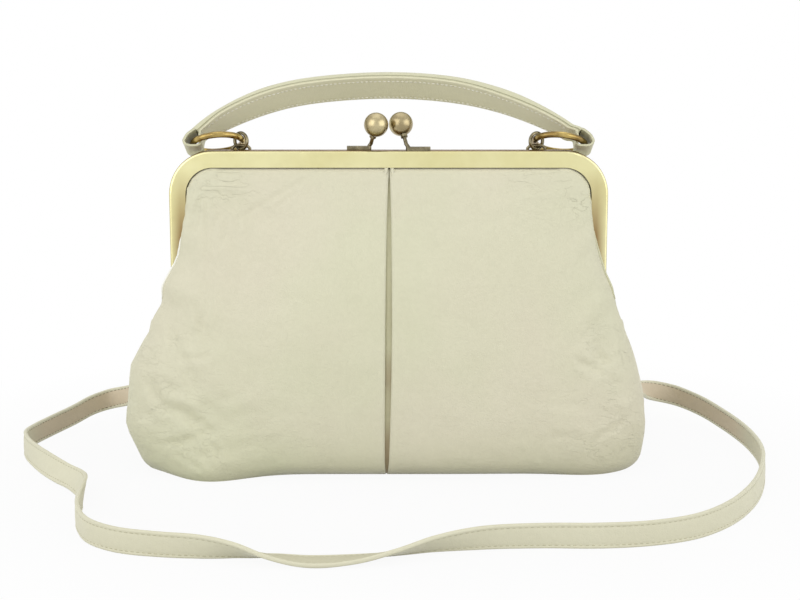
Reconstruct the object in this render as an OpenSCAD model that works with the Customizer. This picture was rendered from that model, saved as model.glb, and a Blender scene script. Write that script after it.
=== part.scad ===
// Kiss lock frame purse: a leather bag hung in two hinged metal channels.
// Millimetres, +Z up. The origin is the middle of the flat base, the front looks to -Y.

/* [Frame] */
// Outer width of the metal frame
frame_w = 250; // [236:1:264]
// Height of the frame's top edge above the resting face
frame_top = 182; // [176:1:190]
// Height of the hinge line above the resting face
hinge_z = 95; // [93:1:98]
// Outer radius of the frame's upper corners
corner_r = 25; // [21:1:30]
// Width of the flanges that grip the leather
flange_w = 9.5; // [8:0.5:11]
// Depth of one channel, front to back
channel_d = 6; // [5.6:0.2:7]
// Thickness of the frame's sheet metal
sheet = 0.9; // [0.7:0.1:1.1]
// Outer bend radius of the channel
bend_r = 1.4; // [1:0.1:1.8]
// Gap between the two closed halves
half_gap = 0.4; // [0.3:0.1:0.6]
// Angle that each half opens by
open_angle = 40; // [25:1:40]

/* [Hinge] */
// Radius of the ears at the legs' lower ends
ear_r = 4.6; // [4:0.1:5]
// Diameter of the hinge rivet's shank
rivet_d = 3; // [2:0.1:3.4]
// Diameter of the hinge rivet's head
rivet_head_d = 5.6; // [5:0.1:6.4]
// Clearance around a rivet and between the ears
hinge_fit = 0.15; // [0.1:0.05:0.2]

/* [Kiss lock] */
// Diameter of the two lock balls
ball_d = 13.8; // [12:0.1:14.2]
// Sideways gap by which the balls clear each other
ball_gap = 0.2; // [0.1:0.1:0.6]
// Height of the ball centres above the frame
ball_rise = 14.6; // [14:0.1:17]
// Distance of each ball centre from the closing plane
ball_cross = 3.5; // [3:0.1:4]
// Diameter of the bent lock posts
post_d = 2.2; // [1.8:0.1:2.6]
// Length of the flat foot of a lock post
foot_l = 12; // [9:0.5:14]
// Width of the flat foot, front to back
foot_w = 4; // [3:0.1:4.4]
// Thickness of the flat foot
foot_t = 2.2; // [1.8:0.1:2.6]

/* [Handle hardware] */
// Distance of the handle rings' centres in from the frame's sides
ring_in = 26.6; // [25:0.2:30]
// Outer diameter of the handle rings
ring_d = 32.4; // [31.6:0.2:33.2]
// Wire diameter of the handle rings
ring_wire = 3.6; // [3.2:0.1:3.8]
// Outer diameter of the jump rings
jump_d = 11.2; // [11:0.1:11.4]
// Wire diameter of the jump rings
jump_wire = 2; // [1.8:0.1:2.1]
// Turn of the jump rings away from facing front
jump_turn = 35; // [32:1:38]
// Wire diameter of the eyes on the rear frame
eye_wire = 1.8; // [1.6:0.1:1.9]
// Width of an eye between the middles of its legs
eye_w = 10; // [9.6:0.1:10.6]

/* [Handle] */
// Reach of the handle's ends beyond the centres of its rings
handle_over = 19.6; // [17.6:0.2:21.6]
// Height of the handle's inner face above its pivot
handle_rise = 36; // [32:0.5:42]
// Width of the handle
handle_w = 21; // [18:0.5:22]
// Height of the padded dome over the handle's edges
dome_h = 8; // [6:0.1:8.6]
// Lean of the handle's middle behind upright
lean_mid = 35; // [30:1:40]
// Lean of the handle's ends, shared by the handle rings
lean_end = 23; // [21:1:26]
// Width of the leather loops round the handle rings
loop_w = 19; // [15:0.5:20]

/* [Leather body] */
// Greatest width of the body
belly_w = 295; // [288:1:306]
// Greatest depth of the body
belly_d = 96; // [94:1:104]
// Height of the widest part
belly_z = 38; // [34:1:44]
// Width of the flat base
base_w = 276; // [266:1:282]
// Depth of the flat base
base_d = 76; // [68:1:80]
// Extra width of the lower shell's rim over the frame
rim_over_w = 13.2; // [12.4:0.2:16]
// Depth of the lower shell's rim
rim_d = 84; // [83:0.5:90]
// Leather thickness
hide = 1.4; // [1:0.1:1.6]
// Width of the folded pleat behind the front slit
pleat_w = 28; // [20:1:36]
// Width of the slit at the middle of the front
slit_w = 3; // [2:0.1:4]
// Depth of the slit
slit_depth = 2.4; // [1.6:0.1:2.6]
// Clearance between leather pieces that slide past each other
slide_fit = 0.6; // [0.4:0.1:1]
// Lining thickness
lining_t = 0.8; // [0.6:0.1:1]
// Thickness of the base board
board_t = 1.6; // [1.2:0.1:2.4]

/* [Strap hardware] */
// Width of the shoulder strap
strap_w = 13; // [11:0.5:14]
// Thickness of the shoulder strap
strap_t = 2.4; // [2:0.1:2.8]
// Wire diameter of the side rings
side_wire = 2.4; // [2:0.1:2.6]
// Inner width of the side rings
side_ring_w = 13; // [12:0.5:15]

/* [Hidden] */
$fn = 48;

// Colours
pale_gold = [0.87, 0.83, 0.62];
antique = [0.55, 0.46, 0.27];
dark_brass = [0.36, 0.33, 0.25];
leather = [0.85, 0.84, 0.74];
leather_inner = [0.70, 0.67, 0.55];
cloth = [0.62, 0.58, 0.48];
board = [0.45, 0.40, 0.33];
paper = [0.80, 0.74, 0.60];

// Clearance between pieces of one body that lie side by side
near = 0.3;
rim_z = hinge_z - 6;
inner_r = corner_r - flange_w;
half_w = frame_w / 2;
cord_d = channel_d - 2 * sheet - 2 * near;

// Pivot line of the handle: the middle of the eyes' top wire
eye_foot_t = 1.5;
eye_y = half_gap / 2 + channel_d + eye_foot_t + eye_wire / 2 + 0.1;
eye_z = frame_top + 2;
ring_span = frame_w - 2 * ring_in;
ring_r = (ring_d - ring_wire) / 2;
ring_y = eye_y + 0.6;
ring_z = eye_z + 1.3;
ring_roll = asin((eye_z + eye_wire / 2 + ring_wire / 2 + 0.15 - ring_z) / ring_r);
jump_r = (jump_d - jump_wire) / 2;
jump_play = 0.1;
jump_z = eye_z - eye_wire / 2 - jump_play - jump_wire / 2 + jump_r;
jump_x = ring_span / 2 - ring_r + 0.9;

// A mirrored pair along X
module on_side(side) {
    if (side > 0) {
        children();
    } else {
        mirror([1, 0, 0]) children();
    }
}

// Front pieces are drawn once and mirrored to make the rear ones
module on_half(half) {
    if (half < 0) {
        children();
    } else {
        mirror([0, 1, 0]) children();
    }
}

// A straight round bar from one point to another
module bar(from, to, d) {
    run = to - from;
    length = norm(run);
    translate(from)
        rotate([0, acos(run[2] / length), atan2(run[1], run[0])])
            cylinder(d = d, h = length);
}

// A bent wire through a list of points with rounded joints
module wire(points, d) {
    for (i = [0 : len(points) - 2]) {
        bar(points[i], points[i + 1], d);
        if (i > 0) {
            translate(points[i]) sphere(d = d);
        }
    }
}

// A closed ring of round wire that lies in the XY plane
module ring(r, d) {
    rotate_extrude() translate([r, 0]) circle(d = d);
}

// Solid between two grids of points with the same rows and columns
module sheet_solid(outer, inner) {
    rows = len(outer);
    cols = len(outer[0]);
    count = rows * cols;
    points = [for (g = [outer, inner], r = g, p = r) p];
    faces = concat(
        [for (i = [0 : rows - 2], j = [0 : cols - 2], f = [
            [i * cols + j, (i + 1) * cols + j, (i + 1) * cols + j + 1],
            [i * cols + j, (i + 1) * cols + j + 1, i * cols + j + 1]
        ]) f],
        [for (i = [0 : rows - 2], j = [0 : cols - 2], f = [
            [i * cols + j, (i + 1) * cols + j + 1, (i + 1) * cols + j],
            [i * cols + j, i * cols + j + 1, (i + 1) * cols + j + 1]
        ]) [for (k = f) k + count]],
        [for (i = [0 : rows - 2], f = edge_faces(i * cols, (i + 1) * cols, count)) [f[2], f[1], f[0]]],
        [for (i = [0 : rows - 2], f = edge_faces((i + 1) * cols - 1, (i + 2) * cols - 1, count)) f],
        [for (j = [0 : cols - 2], f = edge_faces(j, j + 1, count)) f],
        [for (j = [0 : cols - 2], f = edge_faces(
            (rows - 1) * cols + j, (rows - 1) * cols + j + 1, count)) [f[2], f[1], f[0]]]
    );
    polyhedron(points = points, faces = faces, convexity = 6);
}
function edge_faces(a, b, count) = [[a, b, b + count], [a, b + count, a + count]];

// Solid through a run of closed rings, capped at both ends
module tube_solid(rings) {
    sides = len(rings[0]);
    last = (len(rings) - 1) * sides;
    faces = concat(
        [for (i = [0 : len(rings) - 2], j = [0 : sides - 1], f = [
            [i * sides + j, i * sides + (j + 1) % sides, (i + 1) * sides + (j + 1) % sides],
            [i * sides + j, (i + 1) * sides + (j + 1) % sides, (i + 1) * sides + j]
        ]) f],
        [for (j = [1 : sides - 2]) [0, j + 1, j]],
        [for (j = [1 : sides - 2]) [last, last + j, last + j + 1]]
    );
    polyhedron(points = [for (r = rings, p = r) p], faces = faces, convexity = 6);
}

// Frame: each half is a channel bent to an arch

// Cross-section of the channel: x runs outward from the inner edge, y front to back
module channel_section() {
    difference() {
        union() {
            square([flange_w - bend_r, channel_d]);
            translate([flange_w - bend_r, bend_r]) square([bend_r, channel_d - 2 * bend_r]);
            translate([flange_w - bend_r, bend_r]) circle(r = bend_r);
            translate([flange_w - bend_r, channel_d - bend_r]) circle(r = bend_r);
        }
        translate([-1, sheet]) square([flange_w - sheet + 1, channel_d - 2 * sheet]);
    }
}

// The section swept along the frame's arch, from the legs' flange ends over the top
module frame_arch() {
    leg_end = hinge_z + ear_r + 2;
    top_run = frame_w - 2 * corner_r;
    corner_z = frame_top - corner_r;
    for (side = [-1, 1]) {
        on_side(side) {
            translate([half_w - flange_w, 0, leg_end])
                linear_extrude(corner_z - leg_end)
                    channel_section();
            translate([half_w - corner_r, 0, corner_z])
                rotate([90, 0, 0])
                    mirror([0, 0, 1])
                        rotate_extrude_quarter(inner_r);
        }
    }
    translate([-top_run / 2, 0, frame_top - flange_w])
        rotate([90, 0, 90])
            linear_extrude(top_run)
                mirror([1, 0])
                    rotate(90)
                        channel_section();
}

// A quarter bend of the channel about the Z axis, between +X and +Y
module rotate_extrude_quarter(r) {
    rotate_extrude(angle = 90)
        translate([r, 0])
            channel_section();
}

// The web carried down to a rounded ear with the rivet hole; inset moves it inward
module frame_ear(inset) {
    hole_d = rivet_d + 2 * hinge_fit;
    web_y = -(half_gap / 2 + channel_d);
    neck_top = hinge_z + ear_r + 2;
    step_top = neck_top + 5;
    x_out = half_w - inset;
    difference() {
        union() {
            translate([x_out - sheet, 0, hinge_z])
                rotate([0, 90, 0])
                    cylinder(r = ear_r, h = sheet);
            translate([x_out - sheet, 0, 0])
                rotate([90, 0, 90])
                    linear_extrude(sheet)
                        polygon([
                            [-ear_r, hinge_z], [ear_r * 0.2, hinge_z + ear_r * 0.97],
                            [-half_gap / 2 - sheet, neck_top], [-half_gap / 2 - sheet, step_top],
                            [web_y + bend_r, step_top], [web_y + bend_r, neck_top]
                        ]);
            translate([x_out - sheet, web_y + bend_r, neck_top + near])
                cube([inset + sheet / 2, channel_d - bend_r - sheet, step_top - neck_top - near]);
        }
        translate([x_out - sheet - 1, 0, hinge_z])
            rotate([0, 90, 0])
                cylinder(d = hole_d, h = sheet + 2);
    }
}

module frame_half(half) {
    ear_inset = half < 0 ? 0 : sheet + hinge_fit;
    color(pale_gold)
        on_half(half)
            union() {
                translate([0, -half_gap / 2 - channel_d, 0]) frame_arch();
                for (side = [-1, 1]) {
                    on_side(side) frame_ear(ear_inset);
                }
            }
}

// Rivet through both ears, with a domed outer head and a flat inner head
module hinge_rivet(side) {
    head_h = 1.1;
    grip = 2 * sheet + 3 * hinge_fit;
    x_in = half_w - 2 * sheet - 2 * hinge_fit;
    color(antique)
        on_side(side)
            translate([x_in, 0, hinge_z])
                rotate([0, 90, 0]) {
                    cylinder(d = rivet_d, h = grip);
                    translate([0, 0, -head_h]) cylinder(d = rivet_head_d, h = head_h);
                    translate([0, 0, grip])
                        intersection() {
                            cylinder(d = rivet_head_d, h = head_h);
                            translate([0, 0, head_h - rivet_head_d * 0.7])
                                sphere(d = rivet_head_d * 1.4);
                        }
                }
}

// Paper cord that wedges the leather in the channel
module channel_cord(half) {
    out = sheet + near + cord_d / 2;
    r = corner_r - out;
    leg_end = hinge_z + ear_r + 9;
    corner_z = frame_top - corner_r;
    color(paper)
        on_half(half)
            translate([0, -half_gap / 2 - channel_d / 2, 0])
                for (side = [-1, 1]) {
                    on_side(side) {
                        translate([half_w - out, 0, leg_end]) cylinder(d = cord_d, h = corner_z - leg_end);
                        translate([half_w - corner_r, 0, corner_z])
                            rotate([90, 0, 0])
                                rotate_extrude(angle = 90)
                                    translate([r, 0])
                                        circle(d = cord_d);
                        translate([0, 0, frame_top - out])
                            rotate([0, 90, 0])
                                cylinder(d = cord_d, h = half_w - corner_r);
                    }
                }
}

// Kiss lock

ball_x = (ball_d + ball_gap) / 2;
ball_z = frame_top + ball_rise;

// Bent post with its flat foot; the front one stands on the right
module lock_post(half) {
    y_foot = -half_gap / 2 - channel_d / 2;
    x_bend = ball_x + 4.8;
    collar_h = 1.6;
    ball_at = [ball_x, ball_cross, ball_z];
    bend_at = [x_bend, y_foot, frame_top + foot_t / 2];
    knee_at = [x_bend - 1.8, y_foot + 0.7, frame_top + foot_t / 2 + 2.6];
    collar_at = ball_at + (knee_at - ball_at) / norm(knee_at - ball_at) * ball_d / 2;
    color(dark_brass)
        mirror([half < 0 ? 0 : 1, 0, 0])
            on_half(half)
                difference() {
                    union() {
                        translate([x_bend, y_foot - foot_w / 2, frame_top])
                            cube([foot_l, foot_w, foot_t]);
                        translate([x_bend, y_foot, frame_top])
                            cylinder(d = foot_w, h = foot_t);
                        bar(bend_at, knee_at + (knee_at - bend_at) * 0.15, post_d);
                        bar(knee_at, ball_at, post_d);
                        bar(collar_at, collar_at + (knee_at - ball_at) / norm(knee_at - ball_at) * collar_h,
                            post_d + 1.8);
                    }
                    translate(ball_at) sphere(d = ball_d);
                }
}

// The ball that snaps past the other one
module lock_ball(half) {
    color(antique)
        mirror([half < 0 ? 0 : 1, 0, 0])
            on_half(half)
                translate([ball_x, ball_cross, ball_z])
                    sphere(d = ball_d);
}

// Handle hardware

// Eye brazed to the rear half: a flat foot and a wire staple
module handle_eye(side) {
    foot_low = frame_top - 8;
    back = half_gap / 2 + channel_d;
    corner = 1.6;
    color(dark_brass)
        on_side(side)
            translate([jump_x, 0, 0])
                union() {
                    translate([-eye_w / 2 - 1.4, back, foot_low])
                        cube([eye_w + 2.8, eye_foot_t + eye_wire / 2, 5.5]);
                    wire([
                        [-eye_w / 2, eye_y, foot_low + 2],
                        [-eye_w / 2, eye_y, eye_z - corner],
                        [-eye_w / 2 + corner, eye_y, eye_z],
                        [eye_w / 2 - corner, eye_y, eye_z],
                        [eye_w / 2, eye_y, eye_z - corner],
                        [eye_w / 2, eye_y, foot_low + 2]
                    ], eye_wire);
                }
}

module jump_ring(side) {
    color(dark_brass)
        on_side(side)
            translate([jump_x, eye_y, jump_z])
                rotate([0, 0, jump_turn])
                    rotate([90, 0, 0])
                        ring(jump_r, jump_wire);
}

module handle_ring(side) {
    color(antique)
        on_side(side)
            translate([ring_span / 2, ring_y, ring_z])
                rotate([-lean_end, 0, 0])
                    rotate([0, ring_roll, 0])
                        ring(ring_r, ring_wire);
}

// Handle: an arch that leans back, more at its middle than at its ends

handle_stations = 24;
handle_end_in = 8.6;
handle_reach = ring_span / 2 + handle_over;
arch_power = 0.8;
edge_t = 1.8;
backing_t = 0.9;
function lean_at(s) = lean_mid + (lean_end - lean_mid) * pow(abs(s), 2.5);
function rise_at(s) = handle_rise * pow(1 - s * s, arch_power) + 1.2;
// Place a handle point: s along the arch, w across it, h outward from the inner face
function handle_point(s, w, h) =
    let (
        span = handle_reach - handle_end_in,
        step = 0.01,
        a = [span * (s - step), rise_at(max(s - step, -1))],
        b = [span * (s + step), rise_at(min(s + step, 1))],
        run = (b - a) / norm(b - a),
        x = span * s - run[1] * h,
        up = rise_at(s) + run[0] * h,
        lean = lean_at(s)
    )
    [x, ring_y + up * sin(lean) - w * cos(lean), ring_z + up * cos(lean) + w * sin(lean)];
// Stations bunch towards the ends, where the arch turns down
function handle_s(i) = 0.985 * sin(90 * (2 * i / handle_stations - 1));
handle_across = [-0.5, -0.42, -0.36, -0.24, -0.12, 0, 0.12, 0.24, 0.36, 0.42, 0.5];
function dome_at(u) = abs(u) > 0.4 ? 0 : dome_h * pow(1 - pow(abs(u) / 0.4, 2.4), 0.7);
function handle_grid(level, grow) = [
    for (i = [0 : handle_stations]) [
        for (u = handle_across) handle_point(handle_s(i), u * handle_w, level + grow * dome_at(u))
    ]
];
cover_t = 0.9;
function cover_grid(level) = handle_grid(level, 1);

module handle_cover() {
    color(leather) sheet_solid(cover_grid(edge_t), cover_grid(edge_t - cover_t));
}

module handle_filler() {
    fill_across = [for (u = handle_across) if (abs(u) < 0.4) u];
    top = [for (i = [0 : handle_stations]) [for (u = fill_across)
        handle_point(handle_s(i), u * handle_w, edge_t - cover_t + dome_at(u) - 0.1)]];
    bottom = [for (i = [0 : handle_stations]) [for (u = fill_across)
        handle_point(handle_s(i), u * handle_w, backing_t + 0.1)]];
    color(cloth) sheet_solid(top, bottom);
}

module handle_backing() {
    color(leather_inner) sheet_solid(handle_grid(backing_t, 0), handle_grid(0, 0));
}

// Leather loop that wraps the outer end of a handle ring and runs on to the handle's end
module handle_loop(side) {
    r_in = ring_wire / 2 + near;
    r_out = r_in + hide;
    sag = ring_r - sqrt(ring_r * ring_r - loop_w * loop_w / 4);
    wire_x = ring_span / 2 + ring_r * cos(ring_roll);
    wire_h = -ring_r * sin(ring_roll);
    tail_to = [(handle_reach - handle_end_in) * 0.985 + 0.72, rise_at(0.985) + 0.54];
    tail = norm(tail_to - [wire_x, wire_h]) - near;
    color(leather)
        on_side(side)
            translate([wire_x, ring_y, ring_z])
                rotate([-lean_end, 0, 0])
                    rotate([90, 0, 0])
                        translate([0, wire_h, -loop_w / 2])
                            linear_extrude(loop_w)
                                difference() {
                                    union() {
                                        circle(r = r_out);
                                        translate([-sag, 0]) circle(r = r_out);
                                        translate([-sag, -r_out]) square([sag, 2 * r_out]);
                                        rotate(atan2(tail_to[1] - wire_h, tail_to[0] - wire_x))
                                            polygon([
                                                [1, -r_out + 0.2], [tail - 2, -hide], [tail, -hide],
                                                [tail, hide], [tail - 2, hide], [1, r_out - 0.2]
                                            ]);
                                    }
                                    circle(r = r_in);
                                    translate([-sag, 0]) circle(r = r_in);
                                    translate([-sag, -r_in]) square([sag, 2 * r_in]);
                                }
}

// Leather body

n_base = 3.4;
n_rim = 2.6;
// Half width or half depth of the lower shell at a height, from its base, belly and rim values
function shell_half(z, base, belly, rim) =
    z < belly_z
        ? belly - (belly - base) * pow(1 - z / belly_z, 4.5)
        : belly - (belly - rim) * pow((z - belly_z) / (rim_z - belly_z), 1.6);
function shell_a(z) = shell_half(z, base_w / 2, belly_w / 2, (frame_w + rim_over_w) / 2);
function shell_b(z) = shell_half(z, base_d / 2, belly_d / 2, rim_d / 2);
function shell_n(z) = n_base + (n_rim - n_base) * z / rim_z;
function power(v, n) = sign(v) * pow(abs(v), n);
// Point of the lower shell at an angle round the bag and a height, moved in by a thickness
function shell_point(angle, z, t) =
    [(shell_a(z) - t) * power(cos(angle), 2 / shell_n(z)),
     (shell_b(z) - t) * power(sin(angle), 2 / shell_n(z)), z];
shell_levels = [0, 1.5, 4, 9, 18, 30, 44, 58, 70, 80, rim_z];
gusset_half = 14;

// How far the slit is open at a height, closed at the base and at the frame
function slit_open(z) = slit_w / 2 * pow(sin(180 * min(max(z / (frame_top - 10), 0.02), 0.98)), 0.5);

// Share of the pleat at a height: it flattens out at the base and at the rim
function pleat_share(z) = min(1, max(0, (z - 1.5) / 2.5), (rim_z - z) / 9);

// Front point at a given x, for the pleat and its slit
function shell_front_at(x, z, t) =
    [x, -(shell_b(z) - t) * pow(1 - pow(abs(x) / (shell_a(z) - t), shell_n(z)), 1 / shell_n(z)), z];
function slit_columns(z) =
    let (half = slit_open(z), lip = 0.35, depth = 0.8 + (slit_depth - 0.8) * pleat_share(z))
    [for (e = [[-half - lip, 0], [-half, 1], [half, 1], [half + lip, 0]])
        shell_front_at(e[0], z, e[1] * depth)];
function pleat_columns(z) =
    let (half = slit_open(z), lip = 0.35)
    [for (e = [-half - lip, -half, half, half + lip])
        shell_front_at(e, z, hide + (slit_depth + 0.8) * pleat_share(z))];

// A row of the front panel: angles at the sides, then places across the pleat
front_far = [for (i = [0 : 8]) gusset_half + i * 7.5];
module front_panel_lower() {
    edge = pleat_w / 2;
    across = [-2.6 * edge, -edge - 0.4, -edge, 0, edge, edge + 0.4, 2.6 * edge];
    outer = [for (z = shell_levels) concat(
        [for (a = front_far) shell_point(180 + a, z, 0)],
        [for (i = [0 : 2]) shell_front_at(across[i], z, 0)],
        slit_columns(z),
        [for (i = [4 : 6]) shell_front_at(across[i], z, 0)],
        [for (i = [8 : -1 : 0]) shell_point(360 - front_far[i], z, 0)]
    )];
    inner = [for (z = shell_levels) let (deep = hide + (slit_depth + 0.8) * pleat_share(z)) concat(
        [for (a = front_far) shell_point(180 + a, z, hide)],
        [for (i = [0 : 2]) shell_front_at(across[i], z, i < 2 ? hide : deep)],
        pleat_columns(z),
        [for (i = [4 : 6]) shell_front_at(across[i], z, i > 4 ? hide : deep)],
        [for (i = [8 : -1 : 0]) shell_point(360 - front_far[i], z, hide)]
    )];
    color(leather) sheet_solid(outer, inner);
}

function band_grid(from, to, steps, levels, t) = [
    for (z = levels) [for (i = [0 : steps]) shell_point(from + (to - from) * i / steps, z, t)]
];

module rear_panel_lower() {
    color(leather)
        sheet_solid(
            band_grid(gusset_half, 180 - gusset_half, 24, shell_levels, 0),
            band_grid(gusset_half, 180 - gusset_half, 24, shell_levels, hide)
        );
}

module gusset(side) {
    mid = side > 0 ? 0 : 180;
    color(leather)
        sheet_solid(
            band_grid(mid - gusset_half, mid + gusset_half, 8, shell_levels, 0),
            band_grid(mid - gusset_half, mid + gusset_half, 8, shell_levels, hide)
        );
}

// Flat outline of the shell at a height, moved in by a distance
module shell_outline(z, t) {
    polygon([for (i = [0 : 71]) let (p = shell_point(5 * i, z, t)) [p[0], p[1]]]);
}

module base_panel() {
    color(leather) linear_extrude(hide) shell_outline(0, hide + near);
}

module base_board() {
    color(board)
        translate([0, 0, hide])
            linear_extrude(board_t)
                shell_outline(0, hide + 4);
}

// Upper panels: below they turn about the hinge line inside the lower shell,
// above they sweep up into the channel and fold forward over the legs

melon_n = 2.6;
melon_x = half_w + 2;
fold_x = half_w - 1;
melon_low = -14;
melon_high = open_angle - 6;
melon_rows = 6;
sweep_rows = 6;
melon_r = sqrt(pow(rim_d / 2 - hide, 2) + pow(hinge_z - rim_z, 2)) - slide_fit;
mouth_x = half_w - flange_w - 0.4;
mouth_top = frame_top - sheet - near - cord_d - 0.5;
mouth_r = corner_r - (frame_top - mouth_top);
mouth_y = -(half_gap / 2 + channel_d / 2);
mouth_bend = PI / 2 * mouth_r;
mouth_run = mouth_x - mouth_r + mouth_bend + 8;

// Outline of the panel's upper edge, by distance from the middle of the top
function mouth_at(run) =
    let (flat = mouth_x - mouth_r, turn = (run - flat) / mouth_r * 180 / PI)
    run < flat ? [run, mouth_top]
    : run < flat + mouth_bend ? [flat + mouth_r * sin(turn), mouth_top - mouth_r * (1 - cos(turn))]
    : [mouth_x, mouth_top - mouth_r - (run - flat - mouth_bend)];

// The same outline drawn in to the channel's mouth, where the leather comes out
function lip_at(run) =
    let (
        turn = min(90, max(0, (run - mouth_x + mouth_r) / mouth_r * 180 / PI)),
        inward = 0.4 + (flange_w - frame_top + mouth_top + 0.4) * (1 - sin(turn))
    )
    mouth_at(run) - inward * [sin(turn), cos(turn)];

function melon_rho(x, t) = (melon_r - t) * pow(max(0, 1 - pow(abs(x) / (melon_x - t), melon_n)), 1 / melon_n);

// A column of the panel: [x at the hinge, distance from the hinge line, run along the mouth]
function plain_column(q, t) =
    [q * (fold_x - t), melon_rho(q * (fold_x - t), t), q * mouth_run];
function flap_columns(side, t) = [
    [side * (mouth_x - 0.6), ear_r + 3 + t, side * (mouth_run + 16)],
    [side * (fold_x - 4.5 - t / 2), ear_r + 4.6 + t, side * (mouth_run + 8)]
];

// Cubic curve through four control points
function cubic(a, b, c, d, v) =
    pow(1 - v, 3) * a + 3 * v * pow(1 - v, 2) * b + 3 * v * v * (1 - v) * c + v * v * v * d;

// Point on a column: below the melon's top the angle turns, above it the sweep runs to the mouth
function column_point(col, row, t) =
    let (
        turn = row < melon_rows
            ? melon_low + (melon_high - melon_low) * row / (melon_rows - 1)
            : melon_high,
        low = [col[0], -col[1] * cos(turn), hinge_z + col[1] * sin(turn)]
    )
    row < melon_rows ? low
    : let (
        last = row == melon_rows + sweep_rows - 1,
        v = min(1, (row - melon_rows + 1) / (sweep_rows - 1)),
        edge = last ? mouth_at(abs(col[2])) : lip_at(abs(col[2])),
        side = abs(col[2]) / mouth_run,
        full = pow(min(col[1] / melon_r, 1), 2),
        t_top = min(t, hide + near + lining_t),
        top = [sign(col[2]) * edge[0], mouth_y - hide / 2 + t_top, edge[1]],
        lift = (top[2] - low[2]) / 3,
        lead = [low[0], low[1] + 0.56 * lift * full, low[2] + lift],
        fall = [top[0] - sign(col[2]) * 1.5 * pow(min(side, 1), 4), top[1] - 5.5 - 6.5 * full, top[2] - lift]
    )
    last ? top : cubic(low, lead, fall, top, v);

// Thickness of the upper front wall: the pleat flattens out towards the frame
function pleat_here(row) = row < melon_rows ? 1 : max(0, 1 - (row - melon_rows + 1) / (sweep_rows - 1));

// The slit's four lines on a row, and the plain inner line behind them
function upper_slit(row, t, cut) =
    let (
        z = column_point(plain_column(0, t), row, t)[2],
        half = slit_open(z),
        lip = 0.35,
        depth = slit_depth * pleat_here(row) * 0.9
    )
    [for (e = [[-half - lip, 0], [-half, 1], [half, 1], [half + lip, 0]])
        column_point([e[0], melon_rho(e[0], t + cut * e[1] * depth), e[0]], row, t + cut * e[1] * depth)];

function side_steps(steps) = [for (i = [steps : -1 : 1]) sin(90 * i / steps)];

// A row of the panel from right to left; pleat adds the layers behind the slit
function panel_row(row, t, steps, pleat, slit) =
    let (
        extra = pleat * slit_depth * pleat_here(row),
        q_right = side_steps(steps),
        wide = (pleat_w / 2) / fold_x,
        rights = concat(
            [for (c = flap_columns(1, t)) column_point(c, row, t)],
            [for (q = q_right) let (tt = t + (q < wide ? extra : 0)) column_point(plain_column(q, tt), row, tt)]
        ),
        lefts = [for (i = [len(rights) - 1 : -1 : 0]) [-rights[i][0], rights[i][1], rights[i][2]]],
        middle = slit == 0
            ? [column_point(plain_column(0, t + extra), row, t + extra)]
            : [for (p = upper_slit(row, t + extra, slit > 0 ? 1 : 0)) [-p[0], p[1], p[2]]]
    )
    concat(rights, middle, lefts);

panel_steps = 10;
module front_panel_upper() {
    rows = [0 : melon_rows + sweep_rows - 1];
    color(leather)
        sheet_solid(
            [for (r = rows) panel_row(r, 0, panel_steps, 0, 1)],
            [for (r = rows) panel_row(r, hide, panel_steps, 1.3, -1)]
        );
}

module rear_panel_upper() {
    rows = [0 : melon_rows + sweep_rows - 1];
    color(leather)
        mirror([0, 1, 0])
            sheet_solid(
                [for (r = rows) panel_row(r, 0, panel_steps, 0, 0)],
                [for (r = rows) panel_row(r, hide, panel_steps, 0, 0)]
            );
}

// Cloth lining behind an upper panel
module upper_lining(half) {
    rows = [0 : melon_rows + sweep_rows - 1];
    pleat = half < 0 ? 1.3 : 0;
    gap = hide + near;
    color(cloth)
        on_half(half)
            sheet_solid(
                [for (r = rows) panel_row(r, gap, 6, pleat, 0)],
                [for (r = rows) panel_row(r, gap + lining_t, 6, pleat, 0)]
            );
}

// Cloth bag that lines the lower shell, over the base board
lining_out = hide + near;
lining_low = hide + board_t + near;
lining_high = rim_z - 14;
function lining_ring(z, t) = [
    for (i = [0 : 35])
        let (
            p = shell_point(10 * i, z, lining_out + t),
            pleat = p[1] < 0 && abs(p[0]) < 50 ? slit_depth + 0.8 : 0
        )
        [p[0], p[1] + pleat, z]
];

module lower_lining() {
    levels = [lining_low, lining_low + 6, 20, 36, 56, lining_high];
    color(cloth)
        tube_solid(concat(
            [for (z = levels) lining_ring(z, z == lining_low ? 3 : 0)],
            [for (i = [len(levels) - 1 : -1 : 1]) lining_ring(levels[i], lining_t)],
            [lining_ring(lining_low + lining_t, lining_t + 3)]
        ));
}

// Slip pocket on the rear lining
module inner_pocket() {
    depth = lining_out + lining_t + near;
    levels = [20, 36, 56];
    color(cloth)
        sheet_solid(
            band_grid(70, 110, 4, levels, depth),
            band_grid(70, 110, 4, levels, depth + lining_t)
        );
}

// Side rings and their leather tabs, at the back of each gusset seam

tab_angle = 30;
tab_half = 3.6;
tab_low = 64.2;
tab_t = 2.4;
side_bar = shell_point(tab_angle, tab_low - 2.2, -near - tab_t - 0.4);
side_turn = 57;
ring_out = 50;
ring_half = side_ring_w / 2 + side_wire / 2;

module strap_tab(side) {
    loop_r = side_wire / 2 + near;
    color(leather)
        on_side(side) {
            sheet_solid(
                band_grid(tab_angle - tab_half, tab_angle + tab_half, 4, [tab_low, 73, 80, 86], -near - tab_t),
                band_grid(tab_angle - tab_half, tab_angle + tab_half, 4, [tab_low, 73, 80, 86], -near)
            );
            translate(side_bar)
                rotate([0, 0, side_turn])
                    rotate([90, 0, 0])
                        difference() {
                            cylinder(r = loop_r + hide, h = side_ring_w - 2, center = true);
                            cylinder(r = loop_r, h = side_ring_w, center = true);
                        }
        }
}

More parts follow.
